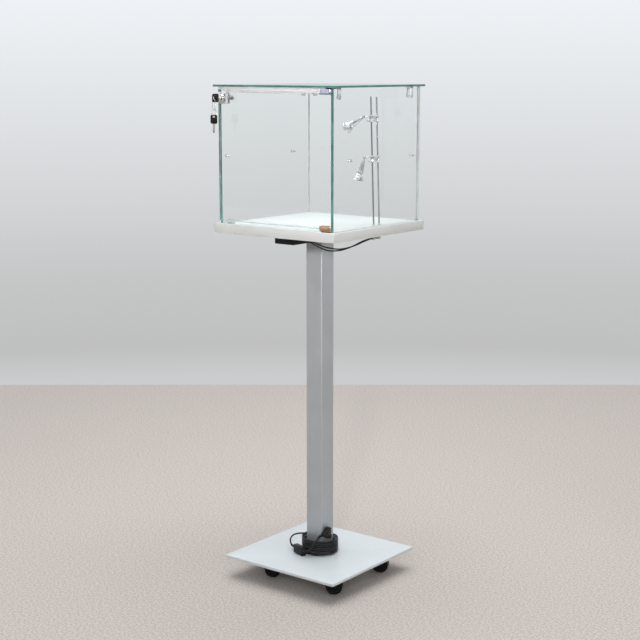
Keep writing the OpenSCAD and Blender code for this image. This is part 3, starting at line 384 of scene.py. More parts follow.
# %% Tapered sleeves
def stretch_of(route, length, step=0.7):
    """Points every step along the first length of a route, in millimetres."""
    points, walked, due = [], 0.0, 0.0
    for a, b in zip(route, route[1:]):
        gap = (b - a).length
        while gap > 0 and due <= walked + gap and due <= length:
            points.append(a + (b - a) * ((due - walked) / gap))
            due += step
        walked += gap
    return points


def sleeve(name, node, route, length, thick, thin, rings=5):
    """A sleeve over the first length of a route, from thick to thin, with grooves."""
    points = stretch_of(route, length)
    line = bpy.data.curves.new(name, "CURVE")
    line.dimensions = "3D"
    line.bevel_depth = MM
    line.bevel_resolution = 4
    line.use_fill_caps = True
    spline = line.splines.new("POLY")
    spline.points.add(len(points) - 1)
    for i, (point, place) in enumerate(zip(spline.points, points)):
        t = i / (len(points) - 1)
        groove = 0.82 if 0.12 < t < 0.92 and math.sin(2 * math.pi * rings * t) > 0.5 else 1.0
        point.co = (*(place * MM), 1)
        point.radius = (thick + (thin - thick) * t) * groove
    piece = bpy.data.objects.new(name, line)
    bpy.context.collection.objects.link(piece)
    pick(piece)
    bpy.ops.object.convert(target="MESH")
    smooth_below(piece, 50)
    return seat_on(piece, node, "black_rubber")


front_lamp_route = smoothed(smoothed(raised(FRONT_LAMP_LEAD, BOARD_UNDERSIDE)))
back_lamp_route = smoothed(smoothed(raised(BACK_LAMP_LEAD, BOARD_UNDERSIDE)))
plug_route = smoothed(smoothed(raised(SWITCH_TO_PLUG, PLUG_MIDDLE)))
switch_sleeve_in = sleeve("switch_sleeve_in", "cord_switch", mains_route[::-1], 24, 4.4, 3.0)
switch_sleeve_out = sleeve("switch_sleeve_out", "cord_switch", plug_route, 24, 4.4, 3.0)
plug_sleeve = sleeve("plug_sleeve", "plug_body", plug_route[::-1], 26, 4.6, 3.0, 6)
front_sleeve = sleeve("front_lamp_sleeve", "driver_case", front_lamp_route, 14, 3.4, 2.3, 3)
back_sleeve = sleeve("back_lamp_sleeve", "driver_case", back_lamp_route, 14, 3.4, 2.3, 3)
DRIVER_OUTLET = [Vector((0, y, BOARD_UNDERSIDE - 21)) for y in (-57.5, -45, -35)]
sleeve("driver_sleeve", "driver_case", DRIVER_OUTLET, 21, 4.6, 2.9)


def cord_curve(name, route, diameter):
    """An open curve with a round bevel. The bevel is one metre and each point's radius
    scales it down, because a curve's box reaches out by the radius of its points."""
    line = bpy.data.curves.new(name, "CURVE")
    line.dimensions = "3D"
    line.bevel_depth = 1
    line.bevel_resolution = 5
    line.use_fill_caps = True
    spline = line.splines.new("POLY")
    spline.points.add(len(route) - 1)
    for point, place in zip(spline.points, route):
        point.co = (*(place * MM), 1)
        point.radius = diameter / 2 * MM
    spline.use_smooth = True
    piece = bpy.data.objects.new(name, line)
    bpy.context.collection.objects.link(piece)
    return piece


def add_cord(name, node, route, diameter):
    piece = stand_for(cord_curve(name, route, diameter), node)
    return piece


LEAD_D = 4
add_cord("lead_front", "lamp_lead_front", front_lamp_route, LEAD_D)
add_cord("lead_back", "lamp_lead_back", back_lamp_route, LEAD_D)
add_cord("mains_lead", "mains_lead_coil", mains_route, CORD_D)
add_cord("plug_lead", "mains_lead_tail", plug_route, CORD_D)

# %% [markdown]
# ## The stage
# A plain pale floor and a quiet surround keep the eye on the case. The floor ends in a
# straight line a few metres behind it, as it does where a wall begins. The surround is
# three things at once. The camera sees a wall that slowly darkens downwards. Glossy pieces
# mirror a room of bright and dark patches, because chrome with only a white wall to mirror
# looks like white paint. What lights the case is bright overhead and dark near the floor,
# so that a shadow lies under the base plate.

# %% Floor
FLOOR_BEHIND = 2.65
FLOOR_SIZE = 16.0
FLOOR_COLOUR = (0.584, 0.530, 0.495)

bpy.ops.object.select_all(action="DESELECT")
bpy.ops.mesh.primitive_plane_add(size=FLOOR_SIZE, rotation=(0, 0, CAMERA_HEADING))
floor = bpy.context.object
floor.name = "floor"
away = Vector((-math.sin(CAMERA_HEADING), math.cos(CAMERA_HEADING), 0))
floor.location = away * (FLOOR_BEHIND - FLOOR_SIZE / 2)
settle(floor)

# %% Surround: (how far up the direction points, strength), from low to high
WALL = [
    (-0.30, 0.60), (-0.2155, 0.60), (-0.195, 0.525), (-0.15, 0.56), (-0.094, 0.66),
    (0.0, 0.82), (0.05, 0.90),
]
FILL = [(0.0, 0.0), (0.55, 0.02), (0.8, 0.52), (1.0, 0.62)]
FILL_COLOUR = (0.94, 0.97, 1.0)
ROOM = [(0.38, (0.06, 0.06, 0.07)), (0.44, (0.62, 0.60, 0.59)), (0.52, (1.0, 1.0, 1.0))]

world = bpy.data.worlds.new("surround")
bpy.context.scene.world = world
world.use_nodes = True
tree = world.node_tree
tree.nodes.clear()
direction = tree.nodes.new("ShaderNodeTexCoord")
upwards = tree.nodes.new("ShaderNodeSeparateXYZ")
tree.links.new(direction.outputs["Generated"], upwards.inputs[0])


def sky(steps, colour_at):
    """A background that goes through the steps from its lowest direction to its highest."""
    low, high = steps[0][0], steps[-1][0]
    spread = tree.nodes.new("ShaderNodeMapRange")
    spread.inputs["From Min"].default_value = low
    spread.inputs["From Max"].default_value = high
    tree.links.new(upwards.outputs["Z"], spread.inputs["Value"])
    ramp = tree.nodes.new("ShaderNodeValToRGB")
    stops = ramp.color_ramp.elements
    while len(stops) < len(steps):
        stops.new(0.5)
    for stop, (height, strength) in zip(stops, steps):
        stop.position = (height - low) / (high - low)
        stop.color = (*colour_at(strength), 1)
    tree.links.new(spread.outputs[0], ramp.inputs[0])
    background = tree.nodes.new("ShaderNodeBackground")
    tree.links.new(ramp.outputs[0], background.inputs["Color"])
    return background


def wall_colour(strength):
    cool = 0.1 * (strength - 0.5)
    return strength * (1 - cool), strength, strength * (1 + cool)


wall = sky(WALL, wall_colour)
fill = sky(FILL, lambda strength: tuple(strength * part for part in FILL_COLOUR))

# What glossy pieces mirror: the wall behind the case, and a room on the camera's side
patches = tree.nodes.new("ShaderNodeTexNoise")
patches.inputs["Scale"].default_value = 2.2
patches.inputs["Detail"].default_value = 1.5
tree.links.new(direction.outputs["Generated"], patches.inputs["Vector"])
contrast = tree.nodes.new("ShaderNodeValToRGB")
contrast.color_ramp.elements.new(0.5)
for stop, (place, tone) in zip(contrast.color_ramp.elements, ROOM):
    stop.position = place
    stop.color = (*tone, 1)
tree.links.new(patches.outputs["Fac"], contrast.inputs[0])
room = tree.nodes.new("ShaderNodeBackground")
tree.links.new(contrast.outputs[0], room.inputs["Color"])
along = tree.nodes.new("ShaderNodeVectorMath")
along.operation = "DOT_PRODUCT"
along.inputs[1].default_value = away
tree.links.new(direction.outputs["Generated"], along.inputs[0])
behind = tree.nodes.new("ShaderNodeMapRange")
behind.inputs["From Max"].default_value = 0.3
tree.links.new(along.outputs["Value"], behind.inputs["Value"])
mirrored = tree.nodes.new("ShaderNodeMixShader")
tree.links.new(behind.outputs[0], mirrored.inputs[0])
tree.links.new(room.outputs[0], mirrored.inputs[1])
tree.links.new(wall.outputs[0], mirrored.inputs[2])

# Each kind of ray gets its own surround, and the fill is what is left for the light
rays = tree.nodes.new("ShaderNodeLightPath")
surround = fill
for kind, background in (("Is Glossy Ray", mirrored), ("Is Transmission Ray", wall), ("Is Camera Ray", wall)):
    choice = tree.nodes.new("ShaderNodeMixShader")
    tree.links.new(rays.outputs[kind], choice.inputs[0])
    tree.links.new(surround.outputs[0], choice.inputs[1])
    tree.links.new(background.outputs[0], choice.inputs[2])
    surround = choice
end = tree.nodes.new("ShaderNodeOutputWorld")
tree.links.new(surround.outputs[0], end.inputs["Surface"])


# %% Lamps
def soft_lamp(name, place, aim, size, power, spread=180):
    """A square area lamp that looks at a point, its beam narrowed to the spread in degrees."""
    bpy.ops.object.light_add(type="AREA", location=place)
    lamp = bpy.context.object
    lamp.name = name
    lamp.data.shape = "SQUARE"
    lamp.data.size = size
    lamp.data.energy = power
    lamp.data.spread = math.radians(spread)
    lamp.rotation_mode = "QUATERNION"
    lamp.rotation_quaternion = (Vector(aim) - Vector(place)).to_track_quat("-Z", "Y")


soft_lamp("overhead_lamp", (0.2, 0.4, 7.0), (0, 0, 0.2), size=6.0, power=388)
soft_lamp("left_lamp", (-1.0, -3.2, 3.2), (0, 0, 0.9), size=1.4, power=15)
soft_lamp("camera_lamp", (2.3, -3.65, 2.15), (0, 0, 1.0), size=0.3, power=3.2, spread=36)
soft_lamp("low_lamp", (3.8, -1.0, 1.4), (0, 0, 0.4), size=1.0, power=1.0, spread=36)
bpy.context.scene.view_settings.view_transform = "Standard"

# %% [markdown]
# ## Plates, boxes and fittings
# The steel, the board and the small housings only need their edges. Each radius is what the
# real piece has: a deburred plate, a pressed lid, a cast fitting, a moulded case.

# %% Soften the rigid pieces
EDGE_RADIUS = {
    "base_plate": 0.8, "column": 0.3, "head_plate": 0.5, "board": 0.2, "board_edging": 0.5,
    "driver_case": 0.6, "driver_lid": 0.5, "top_brackets": 0.6, "strike": 0.3,
    "hinge_foot": 0.4, "hinge_top_socket": 0.4, "door_seal": 0.3, "lock_case": 0.5,
    "lock_backplate": 0.4, "lock_plug": 0.3, "lock_cam": 0.3, "key_head": 0.5,
    "spare_key_head": 0.5, "key_blade": 0.2, "spare_key_blade": 0.2, "rod_collars": 0.3,
    "upper_lamp_clamp": 0.4, "lower_lamp_clamp": 0.4, "upper_lamp_head": 0.3,
    "lower_lamp_head": 0.3, "caster_plates": 0.3, "column_grommets": 0.3, "bracket_screws": 0.2,
    "shelf_pins": 0.3, "rod_nuts": 0.3, "lamp_rods": 0, "key_rings": 0, "mains_lead_riser": 0,
    "foot_insert": 0.3, "mounting_screws": 0.2, "stop_block": 0.4,
}
CORNERS = {"front_left": (-120, -120), "front_right": (120, -120),
           "back_left": (-120, 120), "back_right": (120, 120)}
for corner in CORNERS:
    EDGE_RADIUS[corner + "_caster_hood"] = 0.5
    EDGE_RADIUS[corner + "_caster_wheels"] = 0.4

for node, radius in EDGE_RADIUS.items():
    softened(node, radius)
print("softened pieces:", len(EDGE_RADIUS))

# %% [markdown]
# ## The casters
# Each wheel is a rubber tread on a plastic hub. The hub has thin spokes in its recess and a
# cap over the axle. One spoke is made and copied round, then the hub is copied to the outer
# face of every wheel. The hood gets two ribs, as such mouldings have.

# %% Hub spokes and caps
CASTER_HEADING = 38
WHEEL_TRAIL = 21
WHEEL_R = 25
SPOKES = 9
HUB_FACE = 21.6
HOOD_RIB_Y = 14
HOOD_RIB = [(27.6, -0.9), (28.7, -0.7), (28.7, 0.7), (27.6, 0.9)]
RIB_CUT_ABOVE = 3
RIB_CUT_AHEAD = 14.5


def wheel_frame(corner):
    x, y = CORNERS[corner]
    return moved(x, y, WHEEL_R) @ turned(CASTER_HEADING + 180, "Z") @ moved(-WHEEL_TRAIL, 0, 0)


spoke = block("spoke", (13.3, 0, 0), (12.4, 1.9, 2.2), 0.5)
spokes = [spoke] + [again(spoke, turned(360 / SPOKES * i, "Z")) for i in range(1, SPOKES)]
cap = lathed("axle_cap", [(0, 3.2), (4.6, 3.1), (5.8, 2.4), (6.2, 1.4), (6.2, -1.2), (0, -1.2)], 32)
hub = joined("hub", spokes + [cap])
for corner in CORNERS:
    faces = [again(hub, wheel_frame(corner) @ moved(0, side * HUB_FACE, 0) @ turned(-90 * side, "X"))
             for side in (-1, 1)]
    seat_on(joined(corner + "_hubs", faces), corner + "_caster_wheels", "black_plastic")
    ribs = [placed(lathed("rib", HOOD_RIB, 72), wheel_frame(corner) @ moved(0, y, 0) @ turned(90, "X"))
            for y in (-HOOD_RIB_Y, HOOD_RIB_Y)]
    rib = joined(corner + "_hood_ribs", ribs)
    pick(rib)
    bpy.ops.object.mode_set(mode="EDIT")
    bpy.ops.mesh.select_all(action="SELECT")
    middle = wheel_frame(corner).to_translation()
    bpy.ops.mesh.bisect(plane_co=middle + Vector((0, 0, RIB_CUT_ABOVE * MM)), plane_no=(0, 0, -1),
                        clear_outer=True, use_fill=True)
    ahead = wheel_frame(corner).to_3x3() @ Vector((1, 0, 0))
    bpy.ops.mesh.select_all(action="SELECT")
    bpy.ops.mesh.bisect(plane_co=middle + ahead * (RIB_CUT_AHEAD * MM), plane_no=ahead,
                        clear_outer=True, use_fill=True)
    bpy.ops.object.mode_set(mode="OBJECT")
    seat_on(rib, corner + "_caster_hood")
bpy.data.objects.remove(hub)
print("caster details:", 2 * len(CORNERS))

# %% [markdown]
# ## The driver
# The transformer box under the board is a plain moulding, with ribs on its sides that let
# warm air rise past it. One rib is copied along each side.

# %% Ribs on the driver
driver_low, driver_high = (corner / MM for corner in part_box("driver_case"))
rib_z = (driver_low.z + driver_high.z) / 2 - 1
RIB_PITCH = 5.2
RIB_THICK = 1.3
RIB_PROUD = 1.6
RIB_TALL = 17
SLEEVE_CLEAR = 8
LAMP_LEADS_FROM_Y = -90
ribs = []
for i in range(-6, 7):
    middle_x = (driver_low.x + driver_high.x) / 2 + i * RIB_PITCH
    ribs += [block("rib", (middle_x, y, rib_z), (RIB_THICK, RIB_PROUD, RIB_TALL), 0.5)
             for y in (driver_low.y, driver_high.y)
             if y == driver_low.y or abs(middle_x) > SLEEVE_CLEAR]
    middle_y = (driver_low.y + driver_high.y) / 2 + i * RIB_PITCH
    ribs += [block("rib", (x, middle_y, rib_z), (RIB_PROUD, RIB_THICK, RIB_TALL), 0.5)
             for x in (driver_low.x, driver_high.x)
             if x == driver_low.x or middle_y < LAMP_LEADS_FROM_Y]
seat_on(joined("driver_ribs", ribs), "driver_case")
print("driver ribs:", len(ribs))

# %% [markdown]
# ## The lamps
# Each lamp is a reflector bulb in a turned holder. The reflector is a thin bowl, pressed
# with small facets that scatter the light evenly, so its profile is spun in few steps and
# every second ring is turned by half a step. A rim ring holds a clear front glass, and a
# capsule stands in the middle. The holder gets three cooling rings, and the knobs of the
# clamp a knurl.

# %% Frames of the two lamps
ROD_LEAN = 2
BOARD_HALF = 14
ROD_FRAME = moved(192, 24.5, BOARD_UNDERSIDE + BOARD_HALF) @ turned(-ROD_LEAN, "Y")
HALF_BOARD = BOARD_HALF / math.cos(math.radians(ROD_LEAN))
ARM = 38
ARM_RISE = 5
LAMPS = {"upper_lamp": (311, 26), "lower_lamp": (194, 68)}


def lamp_frame(lamp):
    """The lamp's axis is Z, from the hinge to the bulb."""
    height, tilt = LAMPS[lamp]
    hinge = moved(-ARM, 0, HALF_BOARD + height + ARM_RISE)
    return ROD_FRAME @ hinge @ turned(-tilt, "Y") @ turned(-90, "Y")


for lamp in LAMPS:
    pivot = lamp_frame(lamp).to_translation()
    joint = next(j for j in frame["joints"] if j["name"] == lamp + "_tilt")
    print(lamp, "pivot is off its joint by", round((pivot - Vector(joint["pos_m"])).length / MM, 3), "mm")


# %% Reflector bowl with facets
FACETS = 22
BOWL_WALL = 0.9
BOWL = [
    (4.2, 50.4), (7.4, 51.6), (10.2, 54.0), (12.4, 57.0), (14.0, 60.4), (15.1, 64.0),
    (15.9, 67.4),
]


def faceted_bowl():
    bowl = lathed("bowl", BOWL, FACETS, 1)
    for i, (radius, height) in enumerate(BOWL):
        if i % 2:
            pick(bowl)
            for vertex in bowl.data.vertices:
                vertex.select = abs(vertex.co.z - height * MM) < 1e-5
            bpy.ops.object.mode_set(mode="EDIT")
            bpy.ops.transform.rotate(value=math.pi / FACETS, orient_axis="Z", center_override=(0, 0, 0))
            bpy.ops.object.mode_set(mode="OBJECT")
    pick(bowl)
    bpy.ops.object.mode_set(mode="EDIT")
    bpy.ops.mesh.select_all(action="SELECT")
    bpy.ops.mesh.quads_convert_to_tris(quad_method="SHORTEST_DIAGONAL")
    bpy.ops.mesh.normals_make_consistent(inside=False)
    bpy.ops.object.mode_set(mode="OBJECT")
    wall = bowl.modifiers.new("wall", "SOLIDIFY")
    wall.thickness = BOWL_WALL * MM
    wall.offset = 1
    bpy.ops.object.modifier_apply(modifier="wall")
    return bowl


# %% Profiles of the bulb, and its rings and knobs
BULB_NECK = [
    (0, 47.8), (8.2, 47.8), (8.6, 48.2), (8.6, 50.6), (7.6, 51.4), (4.4, 51), (4.0, 50), (0, 50),
]
BULB_RIM = [
    (15.9, 67.2), (17.1, 67.2), (17.5, 67.6), (17.5, 69.6), (17.1, 70), (16.0, 70),
    (15.7, 69.6), (15.9, 67.2),
]
FRONT_GLASS = [(0, 69.5), (8, 69.4), (15.8, 69.0), (15.8, 68.2), (8, 68.5), (0, 68.6)]
CAPSULE = [
    (0, 50.2), (2.9, 50.2), (3.0, 51), (3.0, 59.6), (2.4, 61.4), (1.1, 62.5), (0.5, 63.6),
    (0, 63.8),
]
COOLING_RINGS = [(8.6, 37.4), (9.05, 40.4), (9.5, 43.4)]
KNOB_R = 4.75
KNOB_THICK = 5.2
KNOB_X = -10.1
KNOB_Y = 14
KNOB_BELOW = 5


def cooling_ring(r, z):
    profile = [(r - 0.8, z), (r + 0.5, z), (r + 0.75, z + 0.35), (r + 0.75, z + 1.15),
               (r + 0.5, z + 1.5), (r - 0.8, z + 1.5), (r - 0.8, z)]
    return lathed("ring", profile, 48)


def knurled_knob():
    bpy.ops.object.select_all(action="DESELECT")
    bpy.ops.mesh.primitive_cylinder_add(vertices=36, radius=KNOB_R * MM, depth=KNOB_THICK * MM)
    knob = bpy.context.object
    bpy.ops.object.mode_set(mode="EDIT")
    bpy.ops.mesh.select_mode(type="EDGE")
    bpy.ops.mesh.select_all(action="DESELECT")
    bpy.ops.mesh.edges_select_sharp(sharpness=math.radians(60))
    bpy.ops.mesh.bevel(offset=0.5 * MM, segments=2, affect="EDGES")
    bpy.ops.object.mode_set(mode="OBJECT")
    for face in knob.data.polygons:
        face.select = abs(face.normal.z) < 0.1
    bpy.ops.object.mode_set(mode="EDIT")
    bpy.ops.mesh.select_mode(type="FACE")
    bpy.ops.mesh.inset(thickness=0.12 * MM, depth=-0.25 * MM, use_individual=True)
    bpy.ops.object.mode_set(mode="OBJECT")
    return knob


# %% Build both lamps
for lamp, (height, _) in LAMPS.items():
    here = lamp_frame(lamp)
    node = lamp + "_bulb"
    bowl = placed(faceted_bowl(), here)
    bowl.name = lamp + "_reflector"
    stand_for(bowl, node, "mirror")
    neck = lathed(lamp + "_bulb_neck", BULB_NECK)
    seat_on(placed(neck, here), node, "cream_plastic")
    rim = lathed(lamp + "_bulb_rim", BULB_RIM, 64)
    seat_on(placed(rim, here), node, "chrome")
    front = lathed(lamp + "_front_glass", FRONT_GLASS, 48)
    seat_on(placed(front, here), node, "lamp_glass")
    capsule = lathed(lamp + "_capsule", CAPSULE, 24)
    seat_on(placed(capsule, here), node, "capsule")
    rings = [cooling_ring(r, z) for r, z in COOLING_RINGS]
    seat_on(placed(joined(lamp + "_rings", rings), here), lamp + "_head")
    knobs = []
    for side in (-1, 1):
        knob_place = moved(KNOB_X, side * KNOB_Y, HALF_BOARD + height - KNOB_BELOW)
        knobs.append(placed(knurled_knob(), ROD_FRAME @ knob_place @ turned(90, "Y")))
    seat_on(joined(lamp + "_knobs", knobs), lamp + "_clamp")

# %% [markdown]
# ## The door's clamps, the lock and the keys
# The two hinge clamps are one node, and their chrome carries two painted reflections: a warm
# brown one on the lower clamp and a cool purple one on the upper clamp. The black key heads
# have a raised pad for the fingers on both sides.

# %% Soften the hinge clamps
clamps = merged_copy("hinge_clamps", "both_hinge_clamps")
bevel_sharp(clamps, 0.4)
smooth_below(clamps)
# Both clamps start with the chrome whose colour holds a painted warm brown reflection; the upper clamp gets the
# painted cool purple reflection at the end.
stand_for(clamps, "hinge_clamps", "chrome_painted_warm_reflection")

# %% Pads on the key heads
KEY_X = -189.5
LOCK_Z = 1481
SPARE_HEAD_Z = 1432.7 - 26
IN_LOCK = moved(KEY_X, -239.5, LOCK_Z) @ turned(90, "X") @ turned(90, "Z")
SPARE = moved(KEY_X, -260, SPARE_HEAD_Z)
for node, place in (("key_head", IN_LOCK), ("spare_key_head", SPARE)):
    pad = block(node + "_pad", (0, 0, 9), (15.5, 4.3, 11), 0.9)
    lines = [block("line", (0, 0, 6.2 + 2.8 * i), (11.5, 4.9, 1), 0.3) for i in range(3)]
    seat_on(placed(joined(node + "_pad", [pad] + lines), place), node)

# %% [markdown]
# ## Finishes
# Every finish starts from one Principled shader. Real surfaces are never even, so a soft
# noise shifts the colour by a few percent, another varies the roughness, and a fine grain
# gives the surface its texture as bump. Object coordinates are used, because a piece keeps
# its place in its mesh and the pattern then stays put when the piece moves.


# %% Building blocks of a finish
def new_finish(name):
    material = bpy.data.materials.new(name)
    material.use_nodes = True
    nodes = material.node_tree.nodes
    shader = nodes["Principled BSDF"]
    where = nodes.new("ShaderNodeTexCoord")
    return material, shader, where.outputs["Object"]


def noise_at(material, where, scale, detail=3.0, stretch=(1, 1, 1)):
    """Noise over the piece, finer along an axis whose stretch is larger."""
    nodes, links = material.node_tree.nodes, material.node_tree.links
    mapping = nodes.new("ShaderNodeMapping")
    mapping.inputs["Scale"].default_value = stretch
    links.new(where, mapping.inputs["Vector"])
    noise = nodes.new("ShaderNodeTexNoise")
    noise.inputs["Scale"].default_value = scale
    noise.inputs["Detail"].default_value = detail
    links.new(mapping.outputs[0], noise.inputs["Vector"])
    return noise.outputs["Fac"]


def tones(material, factor, dark, light, low=0.3, high=0.7):
    """A colour that goes from dark to light as the factor goes from low to high."""
    ramp = material.node_tree.nodes.new("ShaderNodeValToRGB")
    ramp.color_ramp.elements[0].position = low
    ramp.color_ramp.elements[0].color = (*dark, 1)
    ramp.color_ramp.elements[1].position = high
    ramp.color_ramp.elements[1].color = (*light, 1)
    material.node_tree.links.new(factor, ramp.inputs[0])
    return ramp.outputs[0]


def ranged(material, factor, low, high):
    """The factor, from 0.3 to 0.7, spread from low to high."""
    spread = material.node_tree.nodes.new("ShaderNodeMapRange")
    spread.inputs["From Min"].default_value = 0.3
    spread.inputs["From Max"].default_value = 0.7
    spread.inputs["To Min"].default_value = low
    spread.inputs["To Max"].default_value = high
    material.node_tree.links.new(factor, spread.inputs["Value"])
    return spread.outputs[0]


def add_bump(material, shader, height, depth, strength=1.0):
    """Relief from a height between 0 and 1, with its depth in metres."""
    bump = material.node_tree.nodes.new("ShaderNodeBump")
    bump.inputs["Distance"].default_value = depth
    bump.inputs["Strength"].default_value = strength
    material.node_tree.links.new(height, bump.inputs["Height"])
    material.node_tree.links.new(bump.outputs[0], shader.inputs["Normal"])


def finish(name, dark, light, rough, metal=0.0, mottle=25, grain=1500, depth=0.02,
           stretch=(1, 1, 1), coat=0.0, shine=0.5, alpha=1.0, milky=0.0):
    """A finish between two close tones, with roughness from rough[0] to rough[1] and a
    grain that is depth millimetres deep. In a milky one light spreads a few millimetres."""
    material, shader, where = new_finish(name)
    links = material.node_tree.links
    cloud = noise_at(material, where, mottle, stretch=stretch)
    links.new(tones(material, cloud, dark, light), shader.inputs["Base Color"])
    fine = noise_at(material, where, grain, detail=2.0, stretch=stretch)
    links.new(ranged(material, fine, *rough), shader.inputs["Roughness"])
    add_bump(material, shader, fine, depth * MM, 0.6)
    shader.inputs["Metallic"].default_value = metal
    shader.inputs["Coat Weight"].default_value = coat
    shader.inputs["Specular IOR Level"].default_value = shine
    shader.inputs["Alpha"].default_value = alpha
    shader.inputs["Subsurface Weight"].default_value = milky
    shader.inputs["Subsurface Radius"].default_value = (1, 1, 1)
    shader.inputs["Subsurface Scale"].default_value = 5 * MM
    return material


# %% [markdown]
# ## Paint, laminate, metal, rubber and plastic
# The base plate has a smooth pale powder coat and the column a silver-grey paint, the board
# a white melamine laminate with a grey edging band. The fittings are chromed or zinc
# plated. Brushed metal is the same finish with its noise squeezed along one axis.

# %% Finishes by name
FINISHES = {
    "base_paint": finish("pale_powder_coat", (0.74, 0.795, 0.82), (0.78, 0.835, 0.86), (0.34, 0.44),
                         mottle=9, grain=900, depth=0.03),
    "column_paint": finish("silver_paint", (0.475, 0.503, 0.525), (0.525, 0.553, 0.575), (0.36, 0.46),
                           metal=0.25, mottle=12, grain=1300, depth=0.02),
    "steel": finish("zinc_plate", (0.50, 0.50, 0.49), (0.62, 0.62, 0.61), (0.26, 0.40), metal=1.0,
                    mottle=160, grain=2200, depth=0.01),
    "dark_steel": finish("dark_zinc", (0.20, 0.20, 0.21), (0.28, 0.28, 0.29), (0.34, 0.48), metal=1.0,
                         mottle=120, grain=2000),
    "rod": finish("drawn_rod_steel", (0.24, 0.245, 0.25), (0.34, 0.345, 0.35), (0.14, 0.22), metal=1.0,
                  mottle=60, grain=900, depth=0.01, stretch=(30, 30, 1)),
    "chrome": finish("chrome_plate", (0.77, 0.78, 0.80), (0.83, 0.84, 0.86), (0.05, 0.10), metal=1.0,
                     mottle=60, grain=700, depth=0.004),
    "laminate": finish("white_laminate", (0.84, 0.88, 0.88), (0.88, 0.92, 0.92), (0.30, 0.40),
                       mottle=8, grain=1100, depth=0.03),
    "edging": finish("grey_edging_band", (0.76, 0.78, 0.765), (0.82, 0.84, 0.825), (0.38, 0.50),
                     mottle=14, grain=1200, depth=0.03, stretch=(1, 1, 4)),
    "seal": finish("white_seal", (0.97, 0.98, 0.98), (0.99, 1.0, 1.0), (0.32, 0.42),
                   mottle=50, grain=1500),
    "clear_plastic": finish("pale_plastic", (0.88, 0.91, 0.91), (0.94, 0.96, 0.96), (0.15, 0.25),
                            mottle=200, grain=2400, alpha=0.5, milky=1.0),
    "cream_plastic": finish("cream_plastic", (0.70, 0.69, 0.65), (0.76, 0.75, 0.71), (0.25, 0.35),
                            mottle=120, grain=2400),
    "black_metal": finish("black_enamel", (0.006, 0.006, 0.007), (0.012, 0.012, 0.013), (0.22, 0.34),
                          mottle=80, grain=1800, shine=0.35),
    "black_plastic": finish("black_plastic", (0.006, 0.006, 0.006), (0.012, 0.012, 0.012), (0.36, 0.52),
                            mottle=70, grain=1900, depth=0.05, shine=0.25),
    "black_rubber": finish("black_rubber", (0.006, 0.006, 0.006), (0.012, 0.012, 0.012), (0.55, 0.70),
                           mottle=90, grain=1600, depth=0.04, shine=0.2),
    "caster_rubber": finish("tread_rubber", (0.006, 0.006, 0.006), (0.014, 0.013, 0.012), (0.50, 0.72),
                            mottle=60, grain=1400, depth=0.05, shine=0.15),
    "cord": finish("cord_sheath", (0.006, 0.006, 0.007), (0.012, 0.012, 0.013), (0.30, 0.42),
                   mottle=40, grain=1500, depth=0.02, shine=0.3),
    "key_metal": finish("nickel_key", (0.52, 0.50, 0.45), (0.62, 0.60, 0.55), (0.20, 0.32), metal=1.0,
                        mottle=160, grain=1800, stretch=(1, 6, 1)),
    "mirror": finish("mirrored_reflector", (0.80, 0.81, 0.83), (0.88, 0.89, 0.90), (0.06, 0.12), metal=1.0,
                     mottle=200, grain=1200, depth=0.004),
    # Chrome for the two hinge clamps, tinted in its colour with a painted warm brown reflection and a painted cool
    # purple reflection.
    "chrome_painted_warm_reflection": finish("chrome_painted_warm_reflection", (0.50, 0.33, 0.21), (0.62, 0.43, 0.29), (0.16, 0.26), metal=1.0,
                          mottle=70, grain=900, depth=0.006),
    "chrome_painted_cool_reflection": finish("chrome_painted_cool_reflection", (0.42, 0.43, 0.62), (0.60, 0.61, 0.80), (0.10, 0.18), metal=1.0,
                          mottle=90, grain=900, depth=0.006),
}
print("finishes:", len(FINISHES))

# %% [markdown]
# ## Glass
# Float glass is nearly clear through its faces and deep green through its polished edges,
# because there the light has travelled along the whole sheet. A thin sheet bends what is
# behind it so little that its faces can be a tinted see-through shader with a mirror on top,
# which grows towards grazing angles as Fresnel says. Only the side that faces the ray
# mirrors it, or the far side would act as a perfect mirror at a steep angle. The edges are
# a green gloss.


# %% Glass faces, edges and bands
def clear_glass(name, dark, light, rough=0.015, mirror_share=1.6):
    material = bpy.data.materials.new(name)
    material.use_nodes = True
    nodes, links = material.node_tree.nodes, material.node_tree.links
    nodes.remove(nodes["Principled BSDF"])
    clear = nodes.new("ShaderNodeBsdfTransparent")
    where = nodes.new("ShaderNodeTexCoord").outputs["Object"]
    cloud = noise_at(material, where, 3, detail=1.0)
    links.new(tones(material, cloud, dark, light), clear.inputs["Color"])
    mirror = nodes.new("ShaderNodeBsdfGlossy")
    mirror.inputs["Roughness"].default_value = rough
    gloss = nodes.new("ShaderNodeFresnel")
    gloss.inputs["IOR"].default_value = 1.45
    side = nodes.new("ShaderNodeNewGeometry")
    front = nodes.new("ShaderNodeMath")
    front.operation = "SUBTRACT"
    front.inputs[0].default_value = 1
    links.new(side.outputs["Backfacing"], front.inputs[1])
    share = nodes.new("ShaderNodeMath")
    share.operation = "MULTIPLY"
    links.new(gloss.outputs[0], share.inputs[0])
    links.new(front.outputs[0], share.inputs[1])
    more = nodes.new("ShaderNodeMath")
    more.operation = "MULTIPLY"
    more.use_clamp = True
    more.inputs[1].default_value = mirror_share
    links.new(share.outputs[0], more.inputs[0])
    both = nodes.new("ShaderNodeMixShader")
    links.new(more.outputs[0], both.inputs[0])
    links.new(clear.outputs[0], both.inputs[1])
    links.new(mirror.outputs[0], both.inputs[2])
    links.new(both.outputs[0], nodes["Material Output"].inputs["Surface"])
    return material


def pane_edge(name, dark, light):
    material, shader, where = new_finish(name)
    links = material.node_tree.links
    streak = noise_at(material, where, 22, detail=2.0)
    links.new(tones(material, streak, dark, light), shader.inputs["Base Color"])
    fine = noise_at(material, where, 900)
    links.new(ranged(material, fine, 0.08, 0.16), shader.inputs["Roughness"])
    add_bump(material, shader, fine, 0.01 * MM)
    shader.inputs["Coat Weight"].default_value = 0.4
    return material


